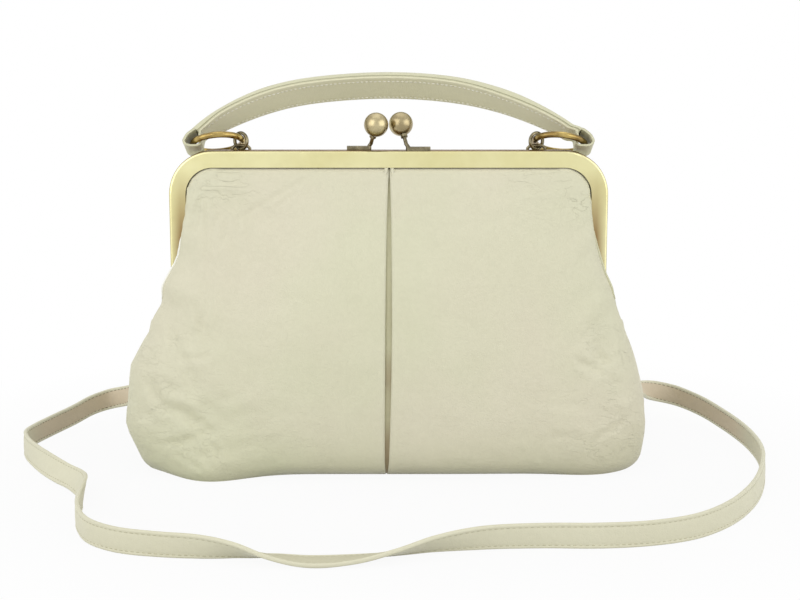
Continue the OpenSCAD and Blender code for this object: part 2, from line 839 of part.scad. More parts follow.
// A D-shaped ring: a straight bar held by the tab and a bow that hangs
module side_ring(side) {
    color(antique)
        on_side(side)
            translate(side_bar)
                rotate([0, 0, side_turn])
                    rotate([0, -ring_out, 0]) {
                        bar([0, -ring_half, 0], [0, ring_half, 0], side_wire);
                        for (end = [-1, 1]) {
                            translate([0, end * ring_half, 0]) sphere(d = side_wire);
                        }
                        rotate([0, 90, 0])
                            rotate([0, 0, -90])
                                rotate_extrude(angle = 180)
                                    translate([ring_half, 0])
                                        circle(d = side_wire);
                    }
}

// Swivel snap hook between a side ring and the strap
hook_wire = 2.4;
hook_lean = 30;
hook_spin = -30;
hook_bar = 22;
hook_r = 5.4;
hook_top = side_bar + [
    ring_half * sin(ring_out) * cos(side_turn),
    ring_half * sin(ring_out) * sin(side_turn),
    -ring_half * cos(ring_out)
];
hook_run = [-sin(hook_lean) * sin(hook_spin), sin(hook_lean) * cos(hook_spin), -cos(hook_lean)];

module strap_hook(side) {
    eye = strap_w / 2 + hook_wire / 2 + 0.5;
    ring_at = -(hook_r - hook_wire / 2 - side_wire / 2 - 0.2);
    color(antique)
        on_side(side)
            translate(hook_top)
                rotate([0, 0, hook_spin])
                    rotate([hook_lean, 0, 0]) {
                        translate([0, 0, ring_at])
                            rotate([0, 0, side_turn - hook_spin])
                                rotate([90, 0, 0])
                                    ring(hook_r, hook_wire);
                        translate([0, 0, ring_at - hook_r - 6]) cylinder(d = 6.4, h = 5.6);
                        wire([
                            [0, 0, -15], [-eye, 0, -15], [-eye, 0, -hook_bar],
                            [eye, 0, -hook_bar], [eye, 0, -15], [0, 0, -15]
                        ], hook_wire);
                    }
}

// Route of the shoulder strap: x, y, height of its middle and lean of its width from upright
strap_end = hook_top + hook_run * (hook_bar + hook_wire / 2 + 3 * near);
strap_route = [
    [-strap_end[0], strap_end[1], strap_end[2], 90],
    [-144.5, 51.5, 31.5, 88], [-149.5, 60, 27.6, 80], [-155, 70, 24.6, 62], [-162, 81, 21.4, 36],
    [-170, 90, 17.4, 12],
    [-181, 96, 14, 4], [-191, 88, 12, 0], [-200, 74, 9, 0], [-209, 54, 7.5, 0], [-216, 35, 6.6, 0],
    [-218, 20, 6.6, 0], [-213, 2, 6.6, -6], [-204, -16, 6.6, -14], [-193, -34, 6.4, -30],
    [-182, -49, 5.8, -45], [-172, -62, 5.8, -45], [-165, -78, 6.4, -20], [-162, -96, 6.6, -4],
    [-160, -114, 6.6, 0], [-156, -134, 6.6, 0], [-147, -154, 6.6, 0], [-131, -168, 6.6, 0],
    [-110, -175, 6.6, 4], [-90, -178, 6.4, 14], [-72, -181, 5.6, 42], [-56, -184, 3.6, 74],
    [-38, -186, 1.8, 90], [-18, -185, 2.2, 86], [2, -180, 3.8, 66], [24, -172, 6, 38],
    [48, -165, 6.6, 14], [76, -162, 6.6, 4], [104, -162, 6.6, 0], [130, -158, 6.6, 0],
    [154, -147, 6.6, -4], [176, -124, 6.6, -8], [195, -90, 6.6, -8], [207, -56, 6.6, -4],
    [214, -26, 6.6, 0], [217, 4, 6.6, 0], [215, 34, 7.5, 0], [209, 62, 9, 0], [199, 86, 12, 0],
    [186, 101, 15, 2], [173, 101, 18, 12], [163, 90, 21.4, 36], [156, 76, 24.6, 62], [150, 62, 27.6, 80],
    [144.5, 52, 31.5, 88], [strap_end[0], strap_end[1], strap_end[2], 90]
];

function flat_unit(v) = v / norm(v);
// Rounded rectangle of the strap's section at one route point
function strap_ring(i) =
    let (
        n = len(strap_route),
        here = strap_route[i],
        before = strap_route[max(i - 1, 0)],
        after = strap_route[min(i + 1, n - 1)],
        run = flat_unit([after[0] - before[0], after[1] - before[1], after[2] - before[2]]),
        right = flat_unit(cross(run, [0, 0, 1])),
        up = cross(right, run),
        wide = up * cos(here[3]) + right * sin(here[3]),
        thick = cross(run, wide),
        w = strap_w / 2,
        h = strap_t / 2,
        c = 0.5
    )
    [for (e = [[-w, -h + c], [-w + c, -h], [w - c, -h], [w, -h + c], [w, h - c], [w - c, h], [-w + c, h], [-w, h - c]])
        [here[0], here[1], here[2]] + wide * e[0] + thick * e[1]];

module shoulder_strap() {
    color(leather) tube_solid([for (i = [0 : len(strap_route) - 1]) strap_ring(i)]);
}

frame_half(-1);  // front_frame
frame_half(1);  // rear_frame
hinge_rivet(-1);  // hinge_rivet_left
hinge_rivet(1);  // hinge_rivet_right
lock_post(-1);  // front_lock_post
lock_post(1);  // rear_lock_post
lock_ball(-1);  // front_lock_ball
lock_ball(1);  // rear_lock_ball
handle_eye(-1);  // handle_eye_left
handle_eye(1);  // handle_eye_right
jump_ring(-1);  // jump_ring_left
jump_ring(1);  // jump_ring_right
handle_ring(-1);  // handle_ring_left
handle_ring(1);  // handle_ring_right
handle_cover();
handle_filler();
handle_backing();
handle_loop(-1);  // handle_loop_left
handle_loop(1);  // handle_loop_right
channel_cord(-1);  // front_channel_cord
channel_cord(1);  // rear_channel_cord
front_panel_upper();
rear_panel_upper();
front_panel_lower();
rear_panel_lower();
gusset(-1);  // gusset_left
gusset(1);  // gusset_right
base_panel();
base_board();
upper_lining(-1);  // front_lining_upper
upper_lining(1);  // rear_lining_upper
lower_lining();
inner_pocket();
strap_tab(-1);  // strap_tab_left
strap_tab(1);  // strap_tab_right
side_ring(-1);  // side_ring_left
side_ring(1);  // side_ring_right
strap_hook(-1);  // strap_hook_left
strap_hook(1);  // strap_hook_right
shoulder_strap();
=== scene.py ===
import math

import bpy
import numpy as np
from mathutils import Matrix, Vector, noise


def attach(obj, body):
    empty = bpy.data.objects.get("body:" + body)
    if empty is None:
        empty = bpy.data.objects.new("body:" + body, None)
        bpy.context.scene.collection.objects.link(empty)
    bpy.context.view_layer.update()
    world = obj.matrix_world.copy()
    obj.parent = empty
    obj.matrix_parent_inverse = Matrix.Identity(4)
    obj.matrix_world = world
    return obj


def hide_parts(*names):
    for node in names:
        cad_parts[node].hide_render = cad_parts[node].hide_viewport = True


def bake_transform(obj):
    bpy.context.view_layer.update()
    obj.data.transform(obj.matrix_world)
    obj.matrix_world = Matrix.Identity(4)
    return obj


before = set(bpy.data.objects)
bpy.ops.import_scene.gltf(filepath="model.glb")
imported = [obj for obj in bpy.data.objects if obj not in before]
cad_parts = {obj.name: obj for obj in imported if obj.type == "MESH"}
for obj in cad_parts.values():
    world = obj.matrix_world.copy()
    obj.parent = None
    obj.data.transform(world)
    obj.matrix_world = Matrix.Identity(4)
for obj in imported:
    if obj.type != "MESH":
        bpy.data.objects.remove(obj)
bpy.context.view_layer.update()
scene = bpy.context.scene
MM = 0.001

# ---- camera ----
CAM_LENS = 70.95
CAM_AT = (0.00651, -0.9, 0.2492)
CAM_PITCH = 9.70
cam_data = bpy.data.cameras.new("camera")
cam_data.lens = CAM_LENS
cam_data.sensor_width = 36.0
cam_data.clip_start = 0.05
camera = bpy.data.objects.new("camera", cam_data)
camera.location = CAM_AT
camera.rotation_euler = (math.radians(90 - CAM_PITCH), 0, 0)
scene.collection.objects.link(camera)
scene.camera = camera
scene.view_settings.view_transform = "Standard"

# ---- sizes shared with part.scad, in mm ----
FRAME_TOP = 182.0
HINGE_Z = 95.0
HALF_W = 125.0
CORNER_R = 25.0
FLANGE_W = 9.5
CHANNEL_D = 6.0
HALF_GAP = 0.4
RIM_Z = HINGE_Z - 6
BELLY_Z = 38.0
HIDE = 1.4
GUSSET_HALF = 14.0
EDGE_GAP = 0.4
SKIN_T = 1.2
# the mouth: where the leather ends in the frame's channel, below the frame's outer edge
MOUTH_DOWN = 5.3
MOUTH_X = HALF_W - FLANGE_W - EDGE_GAP
MOUTH_TOP = FRAME_TOP - MOUTH_DOWN
MOUTH_R = CORNER_R - MOUTH_DOWN
MOUTH_Y = -(HALF_GAP / 2 + CHANNEL_D / 2)
MOUTH_RUN = MOUTH_X - MOUTH_R + math.pi / 2 * MOUTH_R + 8
SIDES = {-1: "left", 1: "right"}


# ---- small helpers ----
def make_object(name, verts, faces, material, slots=None):
    mesh = bpy.data.meshes.new(name)
    mesh.from_pydata([tuple(float(c) * MM for c in v) for v in verts], [], faces)
    mesh.validate()
    for m in (material if isinstance(material, list) else [material]):
        mesh.materials.append(m)
    if slots is not None:
        mesh.polygons.foreach_set("material_index", slots)
    mesh.polygons.foreach_set("use_smooth", [True] * len(mesh.polygons))
    mesh.update()
    obj = bpy.data.objects.new(name, mesh)
    scene.collection.objects.link(obj)
    return obj


def grid_faces(rows, cols, start=0, wrap=False, flip=False):
    faces = []
    for a in range(start, start + (rows - 1) * cols, cols):
        for j in range(cols if wrap else cols - 1):
            k = (j + 1) % cols
            f = (a + j, a + k, a + cols + k, a + cols + j)
            faces.append(f[::-1] if flip else f)
    return faces


def end_caps(rows, cols, start=0, flip=False):
    """The two end faces of a tube of points."""
    first = tuple(range(start, start + cols))
    last = tuple(range(start + rows * cols - 1, start + (rows - 1) * cols - 1, -1))
    return [first[::-1], last[::-1]] if flip else [first, last]


def grid_normals(grid):
    """Unit normals of a grid of points, rows by columns."""
    n = np.cross(np.gradient(grid, axis=1), np.gradient(grid, axis=0))
    return n / np.maximum(np.linalg.norm(n, axis=2, keepdims=True), 1e-9)


def slab(name, grid, thick, material, flip=False):
    """A closed sheet: the grid is its outer face, and the inner face lies thick behind it."""
    rows, cols = grid.shape[:2]
    count = rows * cols
    back = grid - grid_normals(grid) * (-thick if flip else thick)
    faces = grid_faces(rows, cols, flip=flip) + grid_faces(rows, cols, count, flip=not flip)
    near, far = range(0, count, cols), range(cols - 1, count, cols)
    low, top = range(cols), range(count - cols, count)
    for line, turn in ((near, True), (far, False), (low, False), (top, True)):
        for a, b in zip(line[:-1], line[1:]):
            f = (a, b, b + count, a + count)
            faces.append(f[::-1] if turn != flip else f)
    return make_object(name, np.concatenate([grid.reshape(-1, 3), back.reshape(-1, 3)]), faces, material)


def run_length(points):
    """Distance of each point along the line they make."""
    return np.concatenate([[0], np.cumsum(np.linalg.norm(np.diff(points, axis=0), axis=1))])


def swell(x, y, z):
    """Smooth noise between -1 and 1."""
    return noise.noise(Vector((x, y, z)))


def smooth_path(points, step):
    """Points every step mm along a centripetal curve through the given rows of numbers."""
    def between(p, q, start, end, t):
        return p * (end - t) / (end - start) + q * (t - start) / (end - start)

    p = np.array(points, float)
    p = np.vstack([2 * p[0] - p[1], p, 2 * p[-1] - p[-2]])
    out = []
    for a, b, c, d in zip(p, p[1:], p[2:], p[3:]):
        t1 = np.linalg.norm((b - a)[:3]) ** 0.5
        t2 = t1 + np.linalg.norm((c - b)[:3]) ** 0.5
        t3 = t2 + np.linalg.norm((d - c)[:3]) ** 0.5
        for t in np.linspace(t1, t2, 16, endpoint=False):
            ab, bc, cd = between(a, b, 0, t1, t), between(b, c, t1, t2, t), between(c, d, t2, t3, t)
            out.append(between(between(ab, bc, 0, t2, t), between(bc, cd, t1, t3, t), t1, t2, t))
    out.append(p[-2])
    out = np.array(out)
    run = run_length(out[:, :3])
    at = np.linspace(0, run[-1], max(2, int(round(run[-1] / step)) + 1))
    return np.stack([np.interp(at, run, column) for column in out.T], axis=1), run[-1]


def capsules(name, items, material, width, height, sunk=0.15):
    """Stitches: one low rounded bar for each (start, end, outward) in mm."""
    shape = [(-0.5, 0.0), (-0.3, 0.8), (0.3, 0.8), (0.5, 0.0)]
    stops = [(0.0, 0.35), (0.22, 1.0), (0.78, 1.0), (1.0, 0.35)]
    verts, faces = [], []
    for a, b, out in items:
        side = np.cross(out, (b - a) / np.linalg.norm(b - a))
        base = len(verts)
        verts += [a + (b - a) * t + side * u * width * s + out * (h * height * s - sunk)
                  for t, s in stops for u, h in shape]
        faces += grid_faces(len(stops), len(shape), base) + end_caps(len(stops), len(shape), base)
    return make_object(name, verts, faces, material)


# ---- materials: their colours are given in sRGB, 0 to 255 ----
def srgb(color):
    """The linear colour of an sRGB one."""
    shares = [c / 255.0 for c in color]
    return (*[c / 12.92 if c <= 0.04045 else ((c + 0.055) / 1.055) ** 2.4 for c in shares], 1.0)


class Nodes:
    """The node tree of a material or a world, with short calls."""

    def __init__(self, owner):
        owner.use_nodes = True
        self.owner = owner
        self.tree = owner.node_tree
        self.bsdf = self.tree.nodes.get("Principled BSDF")

    def feed(self, socket, value):
        """Link an output to the socket, or set a value there."""
        if hasattr(value, "is_output"):
            self.tree.links.new(value, socket)
        elif value is not None:
            socket.default_value = value

    def fill(self, node, **values):
        """Feed sockets by name, with _ for a space, and set the node's own properties."""
        for name, value in values.items():
            label = name.replace("_", " ")
            if label in node.inputs:
                self.feed(node.inputs[label], value)
            else:
                setattr(node, name, value)

    def new(self, kind, *feeds, **values):
        node = self.tree.nodes.new(kind)
        self.fill(node, **values)
        for socket, value in zip(node.inputs, feeds):
            self.feed(socket, value)
        return node

    def coords(self):
        return self.new("ShaderNodeTexCoord").outputs["Object"]

    def axis(self, name, vector=None):
        """X, Y or Z of a vector, or else of the place in metres."""
        return self.new("ShaderNodeSeparateXYZ", vector or self.coords()).outputs[name]

    def calc(self, operation, *values):
        return self.new("ShaderNodeMath", *values, operation=operation).outputs[0]

    def times(self, product, *factors):
        for factor in factors:
            product = self.calc("MULTIPLY", product, factor)
        return product

    def noise(self, scale, detail=3.0, rough=0.5, vector=None, **more):
        return self.new("ShaderNodeTexNoise", Scale=scale, Detail=detail, Roughness=rough,
                        Vector=vector or self.coords(), **more).outputs["Fac"]

    def wave(self, scale, distortion, detail, direction):
        return self.new("ShaderNodeTexWave", Scale=scale, Distortion=distortion, Detail=detail,
                        Vector=self.coords(), bands_direction=direction)

    def ramp(self, share, *stops):
        """Colour ramp; each stop is a place and a colour, or a number for a grey."""
        n = self.new("ShaderNodeValToRGB", share)
        elements = n.color_ramp.elements
        while len(elements) < len(stops):
            elements.new(0.5)
        for e, (place, color) in zip(elements, stops):
            e.position = place
            e.color = (*(color if isinstance(color, tuple) else (color,) * 3), 1)[:4]
        return n.outputs["Color"]

    def mix(self, share, a, b, mode="MIX", kind="RGBA"):
        n = self.new("ShaderNodeMix", share, data_type=kind, blend_type=mode)
        first, out = {"VECTOR": (4, 1), "RGBA": (6, 2)}[kind]
        self.feed(n.inputs[first], a)
        self.feed(n.inputs[first + 1], b)
        return n.outputs[out]

    def tint(self, a, b):
        return self.mix(1.0, a, b, "MULTIPLY")

    def span(self, value, low, high):
        """0 at low and 1 at high."""
        return self.new("ShaderNodeMapRange", Value=value, From_Min=low, From_Max=high).outputs["Result"]

    def bump(self, height, distance, strength=1.0, normal=None):
        return self.new("ShaderNodeBump", Strength=strength, Distance=distance, Height=height,
                        Normal=normal).outputs["Normal"]

    def seen_by(self, *kinds):
        """1 for rays of these kinds."""
        ray = self.new("ShaderNodeLightPath")
        total = ray.outputs[f"Is {kinds[0]} Ray"]
        for kind in kinds[1:]:
            total = self.calc("MAXIMUM", total, ray.outputs[f"Is {kind} Ray"])
        return total

    def surface(self, output, share, a, b):
        """Mix the shaders of two nodes into the named output."""
        mixer = self.new("ShaderNodeMixShader", share, a.outputs[0], b.outputs[0])
        self.feed(self.tree.nodes[output].inputs[0], mixer.outputs[0])

    def finish(self, color, rough, normal=None, **more):
        self.fill(self.bsdf, Base_Color=color, Roughness=rough, Normal=normal, **more)
        return self.owner


def new_material(name):
    return Nodes(bpy.data.materials.new(name))


def leather_material(name, base, dark, grain=1.0, rough=0.5, mottled=0.35, creased=False, behind=None,
                     band_color=None, bands=()):
    """Matt leather. creased adds the body's crinkles with painted shade in their valleys, and painted shade just
    above the base; behind and the banded colour are colours of single places.
    """
    base, dark = srgb(base), srgb(dark)
    m = new_material(name)
    broad = m.noise(14.0, 4.0, 0.55)
    color = m.mix(mottled * 0.4, base, m.ramp(broad, (0.32, dark), (0.68, base)))
    if behind is not None:
        # the strap's inner face is browner only on the lengths behind the bag
        color = m.mix(m.span(m.axis("Y"), 0.02, 0.045), color, srgb(behind))
    if creased:
        # faint warm and green patches, and painted shade that darkens the leather just above the base
        warm = m.ramp(m.noise(11.0, 3.0, 0.5), (0.36, (0.975, 0.99, 0.955)), (0.64, (1.0, 0.98, 0.985)))
        painted_base_shade = m.ramp(m.span(m.axis("Z"), 0.034, 0.004), (0, 1), (1, (0.9, 0.915, 0.87)))
        color = m.tint(m.tint(color, warm), painted_base_shade)
    if band_color is not None:
        # darker, browner bands over the height, 0 at the base and 1 at 180 mm
        color = m.mix(m.ramp(m.span(m.axis("Z"), 0.0, 0.18), *bands), color, srgb(band_color))
    color = m.tint(color, m.ramp(m.noise(420.0, 2.0, 0.5), (0.35, (0.975, 0.975, 0.97)), (0.65, 1)))
    coord = m.coords()
    drift = m.new("ShaderNodeTexNoise", Scale=90.0, Detail=2.0, Vector=coord).outputs["Color"]
    cells = m.new("ShaderNodeTexVoronoi", Scale=620.0, feature="DISTANCE_TO_EDGE",
                  Vector=m.mix(0.02, coord, drift, kind="VECTOR"))
    normal = m.bump(m.ramp(cells.outputs["Distance"], (0.0, 0), (0.22, 1)), 0.00010 * grain, 0.55)
    normal = m.bump(m.noise(60.0, 5.0, 0.6), 0.0009 * grain, 0.35, normal)
    if creased:
        fold = body_creases(m)
        normal = m.bump(fold, -0.00024, 1.0, normal)
        # painted shade: the crinkles' valleys are darkened toward the dark leather colour
        color = m.mix(fold, color, m.mix(0.2, color, dark))
    gloss = m.ramp(broad, (0.3, rough - 0.05), (0.7, rough + 0.08))
    return m.finish(color, gloss, normal, Specular_IOR_Level=0.38, Coat_Weight=0.06, Coat_Roughness=0.45)


# crinkles: the pattern's turn, stretch and scale, then height and distance from the middle, in metres, from
# where they begin to where they are full, and their strength
CRINKLES = ((0.5, (0.7, 1, 1.4), 135.0, (0.085, 0.03), (0.02, 0.11), 0.8),
            (-0.9, (0.6, 1, 1.5), 150.0, (0.13, 0.07), (0.08, 0.122), 0.7),
            (0.05, (0.6, 1, 1.6), 200.0, (0.065, 0.01), (-0.2, 0.02), 0.5),
            (0.8, (0.6, 1, 1.5), 120.0, (0.135, 0.16), (0.05, 0.105), 1.5))


def body_creases(m):
    """Fine crinkles of soft leather, as bumps and as painted shade in their valleys: most above the base, at the
    lower corners and at the frame's corners.
    """
    coord = m.coords()
    height, wide = m.axis("Z"), m.calc("ABSOLUTE", m.axis("X"))
    total = 0.0
    for turn, stretch, scale, heights, widths, strength in CRINKLES:
        lay = m.new("ShaderNodeMapping", Vector=coord, Rotation=(0, turn, 0), Scale=stretch)
        line = m.noise(scale, 2.5, 0.55, lay.outputs["Vector"], Distortion=0.4)
        valley = m.ramp(line, (0.4, 0), (0.485, 0.3), (0.5, 1), (0.515, 0.3), (0.6, 0))
        patch = m.ramp(m.noise(scale * 0.33, 1.0), (0.36, 0), (0.6, 1))
        mask = m.times(m.span(height, *heights), m.span(wide, *widths), strength)
        total = m.calc("MAXIMUM", m.times(m.times(valley, patch), mask), total)
    return total


def metal_material(name, base, worn, rough, wear_scale=60.0, brushed=0.0, top=None, leg=None):
    """Brass worn in patches. top is the colour of a painted dark reflection on the frame's web, and leg the colour
    of painted shade near the leather on the inner leg faces, partly the brass's own ageing.
    """
    m = new_material(name)
    color = m.mix(m.ramp(m.noise(wear_scale, 5.0, 0.6), (0.38, 0), (0.66, 1)), srgb(worn), srgb(base))
    if top is not None:
        # painted dark reflection: the web, facing up or down, is brown; the front flange is bright
        facing = m.new("ShaderNodeNewGeometry").outputs["Normal"]
        web = m.ramp(m.calc("ABSOLUTE", m.axis("Y", facing)), (0.42, 1), (0.84, 0))
        flank = m.ramp(m.calc("ABSOLUTE", m.axis("X", facing)), (0.55, 1), (0.95, 0.25))
        color = m.mix(m.tint(web, flank), color, srgb(top))
        # painted shade near the leather, partly the brass's own ageing: the inner leg faces go brown toward the
        # bottom
        inner = m.ramp(m.span(m.calc("ABSOLUTE", m.axis("X")), 0.1252, 0.118), (0.12, 0), (0.9, 1))
        low = m.ramp(m.span(m.axis("Z"), 0.172, 0.132), (0, 0), (1, 1))
        color = m.mix(m.tint(inner, low), color, srgb(leg))
    gloss = m.ramp(m.noise(260.0, 3.0, 0.6), (0.3, rough * 0.85), (0.7, min(1, rough * 1.2)))
    normal = m.bump(m.noise(1500.0, 2.0, 0.5), 0.00004, 0.25 + brushed)
    return m.finish(color, gloss, normal, Metallic=1.0)


def fibre_material(name, base, dark, scale, rough):
    """Thread, paper cord or board: fine streaks and a little unevenness."""
    m = new_material(name)
    streak = m.wave(scale, 3.0, 2.0, "DIAGONAL")
    tone = m.ramp(m.noise(scale * 0.4, 3.0), (0.3, 0), (0.7, 1))
    color = m.mix(m.mix(0.5, tone, streak.outputs["Color"]), srgb(dark), srgb(base))
    return m.finish(color, rough, m.bump(streak.outputs["Fac"], 0.00008, 0.6), Specular_IOR_Level=0.3)


def cloth_material(name, base, dark):
    m = new_material(name)
    weave = m.tint(*[m.wave(900.0, 0.4, 1.0, way).outputs["Color"] for way in "XZ"])
    color = m.mix(m.ramp(m.noise(25.0), (0.3, 0), (0.7, 1)), srgb(dark), srgb(base))
    return m.finish(color, 0.9, m.bump(weave, 0.0001, 0.5), Sheen_Weight=0.15)


leather = leather_material("sage_leather", (221, 218, 194), (198, 195, 164), mottled=0.45, creased=True)
handle_leather = leather_material("handle_leather", (214, 212, 180), (200, 198, 162), 0.6, 0.45, 0.3)
# painted light: the handle's inner face is a lighter copy of the handle leather, to offset the shade it lies in
under_leather_lightened = leather_material("handle_under_leather_lightened", (236, 233, 204), (212, 208, 174), 0.6, 0.5, 0.7)
# painted highlight: a near-white leather for the left turned edge, where it catches the light
edge_highlight_leather = leather_material("turned_edge", (252, 251, 242), (240, 238, 224), 0.5, 0.45, 0.3)
# painted shade for the grooves along the handle cover's edges
groove_shade_leather = leather_material("handle_groove_shade", (150, 146, 112), (132, 128, 96), 0.4, 0.6, 0.3)
strap_leather = leather_material("strap_leather", (222, 219, 194), (204, 200, 168), 0.8, 0.48, 0.5)
strap_back = leather_material("strap_back", (208, 204, 178), (190, 186, 156), 0.9, 0.6, 0.6,
                              behind=(212, 198, 172))
# stops of the pleat's darker, browner bands: place over the height and strength
PLEAT_BANDS = ((0.0, 0.7), (0.02, 0.95), (0.13, 0.8), (0.2, 0.15), (0.27, 0.2), (0.32, 0.6), (0.36, 0.45),
               (0.42, 0.0))
pleat_leather = leather_material("pleat_leather", (214, 212, 180), (198, 194, 160), 0.9, 0.6, 1.9,
                                 band_color=(168, 150, 120), bands=PLEAT_BANDS)

lining = cloth_material("lining_cloth", (170, 160, 136), (150, 140, 116))
thread = fibre_material("thread", (248, 246, 232), (228, 225, 204), 700.0, 0.6)
strap_thread = fibre_material("strap_thread", (206, 202, 172), (176, 172, 140), 700.0, 0.6)
brown_thread = fibre_material("brown_thread", (150, 136, 108), (120, 106, 80), 700.0, 0.7)
paper = fibre_material("paper", (200, 184, 150), (176, 158, 122), 420.0, 0.8)
board = fibre_material("board", (122, 108, 90), (98, 84, 68), 260.0, 0.85)

frame_gold = metal_material("frame_gold", (229, 224, 175), (219, 212, 158), 0.33, 22.0, 0.1,
                            top=(128, 98, 60), leg=(150, 122, 82))
ball_brass = metal_material("ball_brass", (208, 196, 156), (158, 144, 110), 0.29, 70.0)
ring_brass = metal_material("ring_brass", (200, 176, 108), (128, 106, 62), 0.23, 90.0)
dark_brass = metal_material("dark_brass", (164, 154, 124), (104, 97, 78), 0.28, 160.0)
hook_brass = metal_material("hook_brass", (184, 164, 108), (134, 114, 70), 0.3, 60.0)


def dress(material, *names):
    """Give pieces of the solids a material."""
    for name in names:
        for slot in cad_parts[name].material_slots:
            slot.material = material


for half in ("front", "rear"):
    dress(frame_gold, f"{half}_frame")
    dress(ball_brass, f"{half}_lock_ball")
    dress(dark_brass, f"{half}_lock_post")
    dress(paper, f"{half}_channel_cord")
for name in SIDES.values():
    dress(ring_brass, f"handle_ring_{name}")
    dress(dark_brass, f"handle_eye_{name}", f"jump_ring_{name}", f"hinge_rivet_{name}")
    dress(hook_brass, f"side_ring_{name}", f"strap_hook_{name}")
dress(board, "base_board")

# ---- shoulder strap: the route of part.scad, x y z in mm and the lean of its width ----
STRAP_SEAM = 4.7
HOOK_LEAN = math.radians(30)
HOOK_SPIN = math.radians(-30)


def shell_half(z, belly, base_in, rim_in):
    """Half size of the lower shell at height z, drawn in at the base and the rim."""
    low = belly - base_in * np.power(np.maximum(1 - z / BELLY_Z, 0), 4.5)
    high = belly - rim_in * np.power(np.maximum((z - BELLY_Z) / (RIM_Z - BELLY_Z), 0), 1.6)
    return np.where(z < BELLY_Z, low, high)


def shell_a(z):
    return shell_half(z, 147.5, 9.5, 15.9)


def shell_b(z):
    return shell_half(z, 48.0, 10.0, 6.0)


def shell_n(z):
    """Power of the shell's rounded section."""
    return 3.4 - 0.8 * z / RIM_Z


def shell_point(angle, z, t=0.0):
    """Point of the shell at an angle in degrees and a height, t mm inside it."""
    a, e = math.radians(angle), 2 / shell_n(z)
    c, s = math.cos(a), math.sin(a)
    return np.array([(shell_a(z) - t) * math.copysign(abs(c) ** e, c),
                     (shell_b(z) - t) * math.copysign(abs(s) ** e, s), z])


BAR_AT = shell_point(30, 62.0, -3.1)
TURN = math.radians(57)
OUT = math.radians(50)
hook_top = BAR_AT + 7.7 * np.array([math.sin(OUT) * math.cos(TURN), math.sin(OUT) * math.sin(TURN),
                                    -math.cos(OUT)])
hook_run = np.array([-math.sin(HOOK_LEAN) * math.sin(HOOK_SPIN),
                     math.sin(HOOK_LEAN) * math.cos(HOOK_SPIN), -math.cos(HOOK_LEAN)])
end_at = hook_top + hook_run * 24.1
ROUTE = [
    (-end_at[0], *end_at[1:], 90), (-144.5, 51.5, 31.5, 88), (-149.5, 60, 27.6, 80),
    (-155, 70, 24.6, 62), (-162, 81, 21.4, 36), (-170, 90, 17.4, 12), (-181, 96, 14, 4),
    (-191, 88, 12, 0), (-200, 74, 9, 0), (-209, 54, 7.5, 0), (-216, 35, 6.6, 0), (-218, 20, 6.6, 0),
    (-213, 2, 6.6, -6), (-204, -16, 6.6, -14), (-193, -34, 6.4, -30), (-182, -49, 5.8, -45),
    (-172, -62, 5.8, -45), (-165, -78, 6.4, -20), (-162, -96, 6.6, -4), (-160, -114, 6.6, 0),
    (-156, -134, 6.6, 0), (-147, -154, 6.6, 0), (-131, -168, 6.6, 0), (-110, -175, 6.6, 4),
    (-90, -178, 6.4, 14), (-72, -181, 5.6, 42), (-56, -184, 3.6, 74), (-38, -186, 1.8, 90),
    (-18, -185, 2.2, 86), (2, -180, 3.8, 66), (24, -172, 6, 38), (48, -165, 6.6, 14),
    (76, -162, 6.6, 4), (104, -162, 6.6, 0), (130, -158, 6.6, 0), (154, -147, 6.6, -4),
    (176, -124, 6.6, -8), (195, -90, 6.6, -8), (207, -56, 6.6, -4), (214, -26, 6.6, 0),
    (217, 4, 6.6, 0), (215, 34, 7.5, 0), (209, 62, 9, 0), (199, 86, 12, 0), (186, 101, 15, 2),
    (173, 101, 18, 12), (163, 90, 21.4, 36), (156, 76, 24.6, 62), (150, 62, 27.6, 80),
    (144.5, 52, 31.5, 88), (*end_at, 90),
]
route, strap_length = smooth_path(ROUTE, 2.4)


def strap_frames():
    """Centre, width and face directions at every point of the route."""
    p = route[:, :3]
    run = np.gradient(p, axis=0)
    run /= np.linalg.norm(run, axis=1, keepdims=True)
    right = np.cross(run, (0, 0, 1.0))
    right /= np.linalg.norm(right, axis=1, keepdims=True)
    up = np.cross(right, run)
    lean = np.radians(route[:, 3])[:, None]
    wide = up * np.cos(lean) + right * np.sin(lean)
    return p, run, wide, np.cross(run, wide)


strap_p, strap_run, strap_wide, strap_face = strap_frames()
# half of the strap's upper face: place across the width, and height
STRAP_EDGE = [(6.5, 0.35), (6.3, 0.85), (5.8, 1.15), (5.2, 1.08), (4.7, 0.86), (4.2, 0.98), (3.2, 1.12),
              (1.5, 1.2)]


def build_strap():
    face = [(-u, h) for u, h in STRAP_EDGE] + [(0, 1.2)] + STRAP_EDGE[::-1]
    section = face + [(u, -h) for u, h in face[::-1]]
    n, rows = len(section), len(strap_p)
    verts = []
    for p, wide, out in zip(strap_p, strap_wide, strap_face):
        for u, h in section:
            dent = 0.10 * noise.noise(Vector(p * 0.09) + Vector((u * 0.3, 0, h)))
            q = p + wide * u + out * (h + dent)
            q[2] = max(q[2], 0.05)
            verts.append(q)
    faces = grid_faces(rows, n, wrap=True)
    # the inner face between the two seams is darker
    inner = [int(h < 0 and h2 < 0 and max(abs(u), abs(u2)) < STRAP_SEAM + 0.05)
             for (u, h), (u2, h2) in zip(section, section[1:] + section[:1])]
    slots = [inner[k % n] for k in range(len(faces))] + [0, 0]
    return make_object("strap_band", verts, faces + end_caps(rows, n), [strap_leather, strap_back], slots=slots)


strap = build_strap()
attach(strap, "bag")
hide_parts("shoulder_strap")


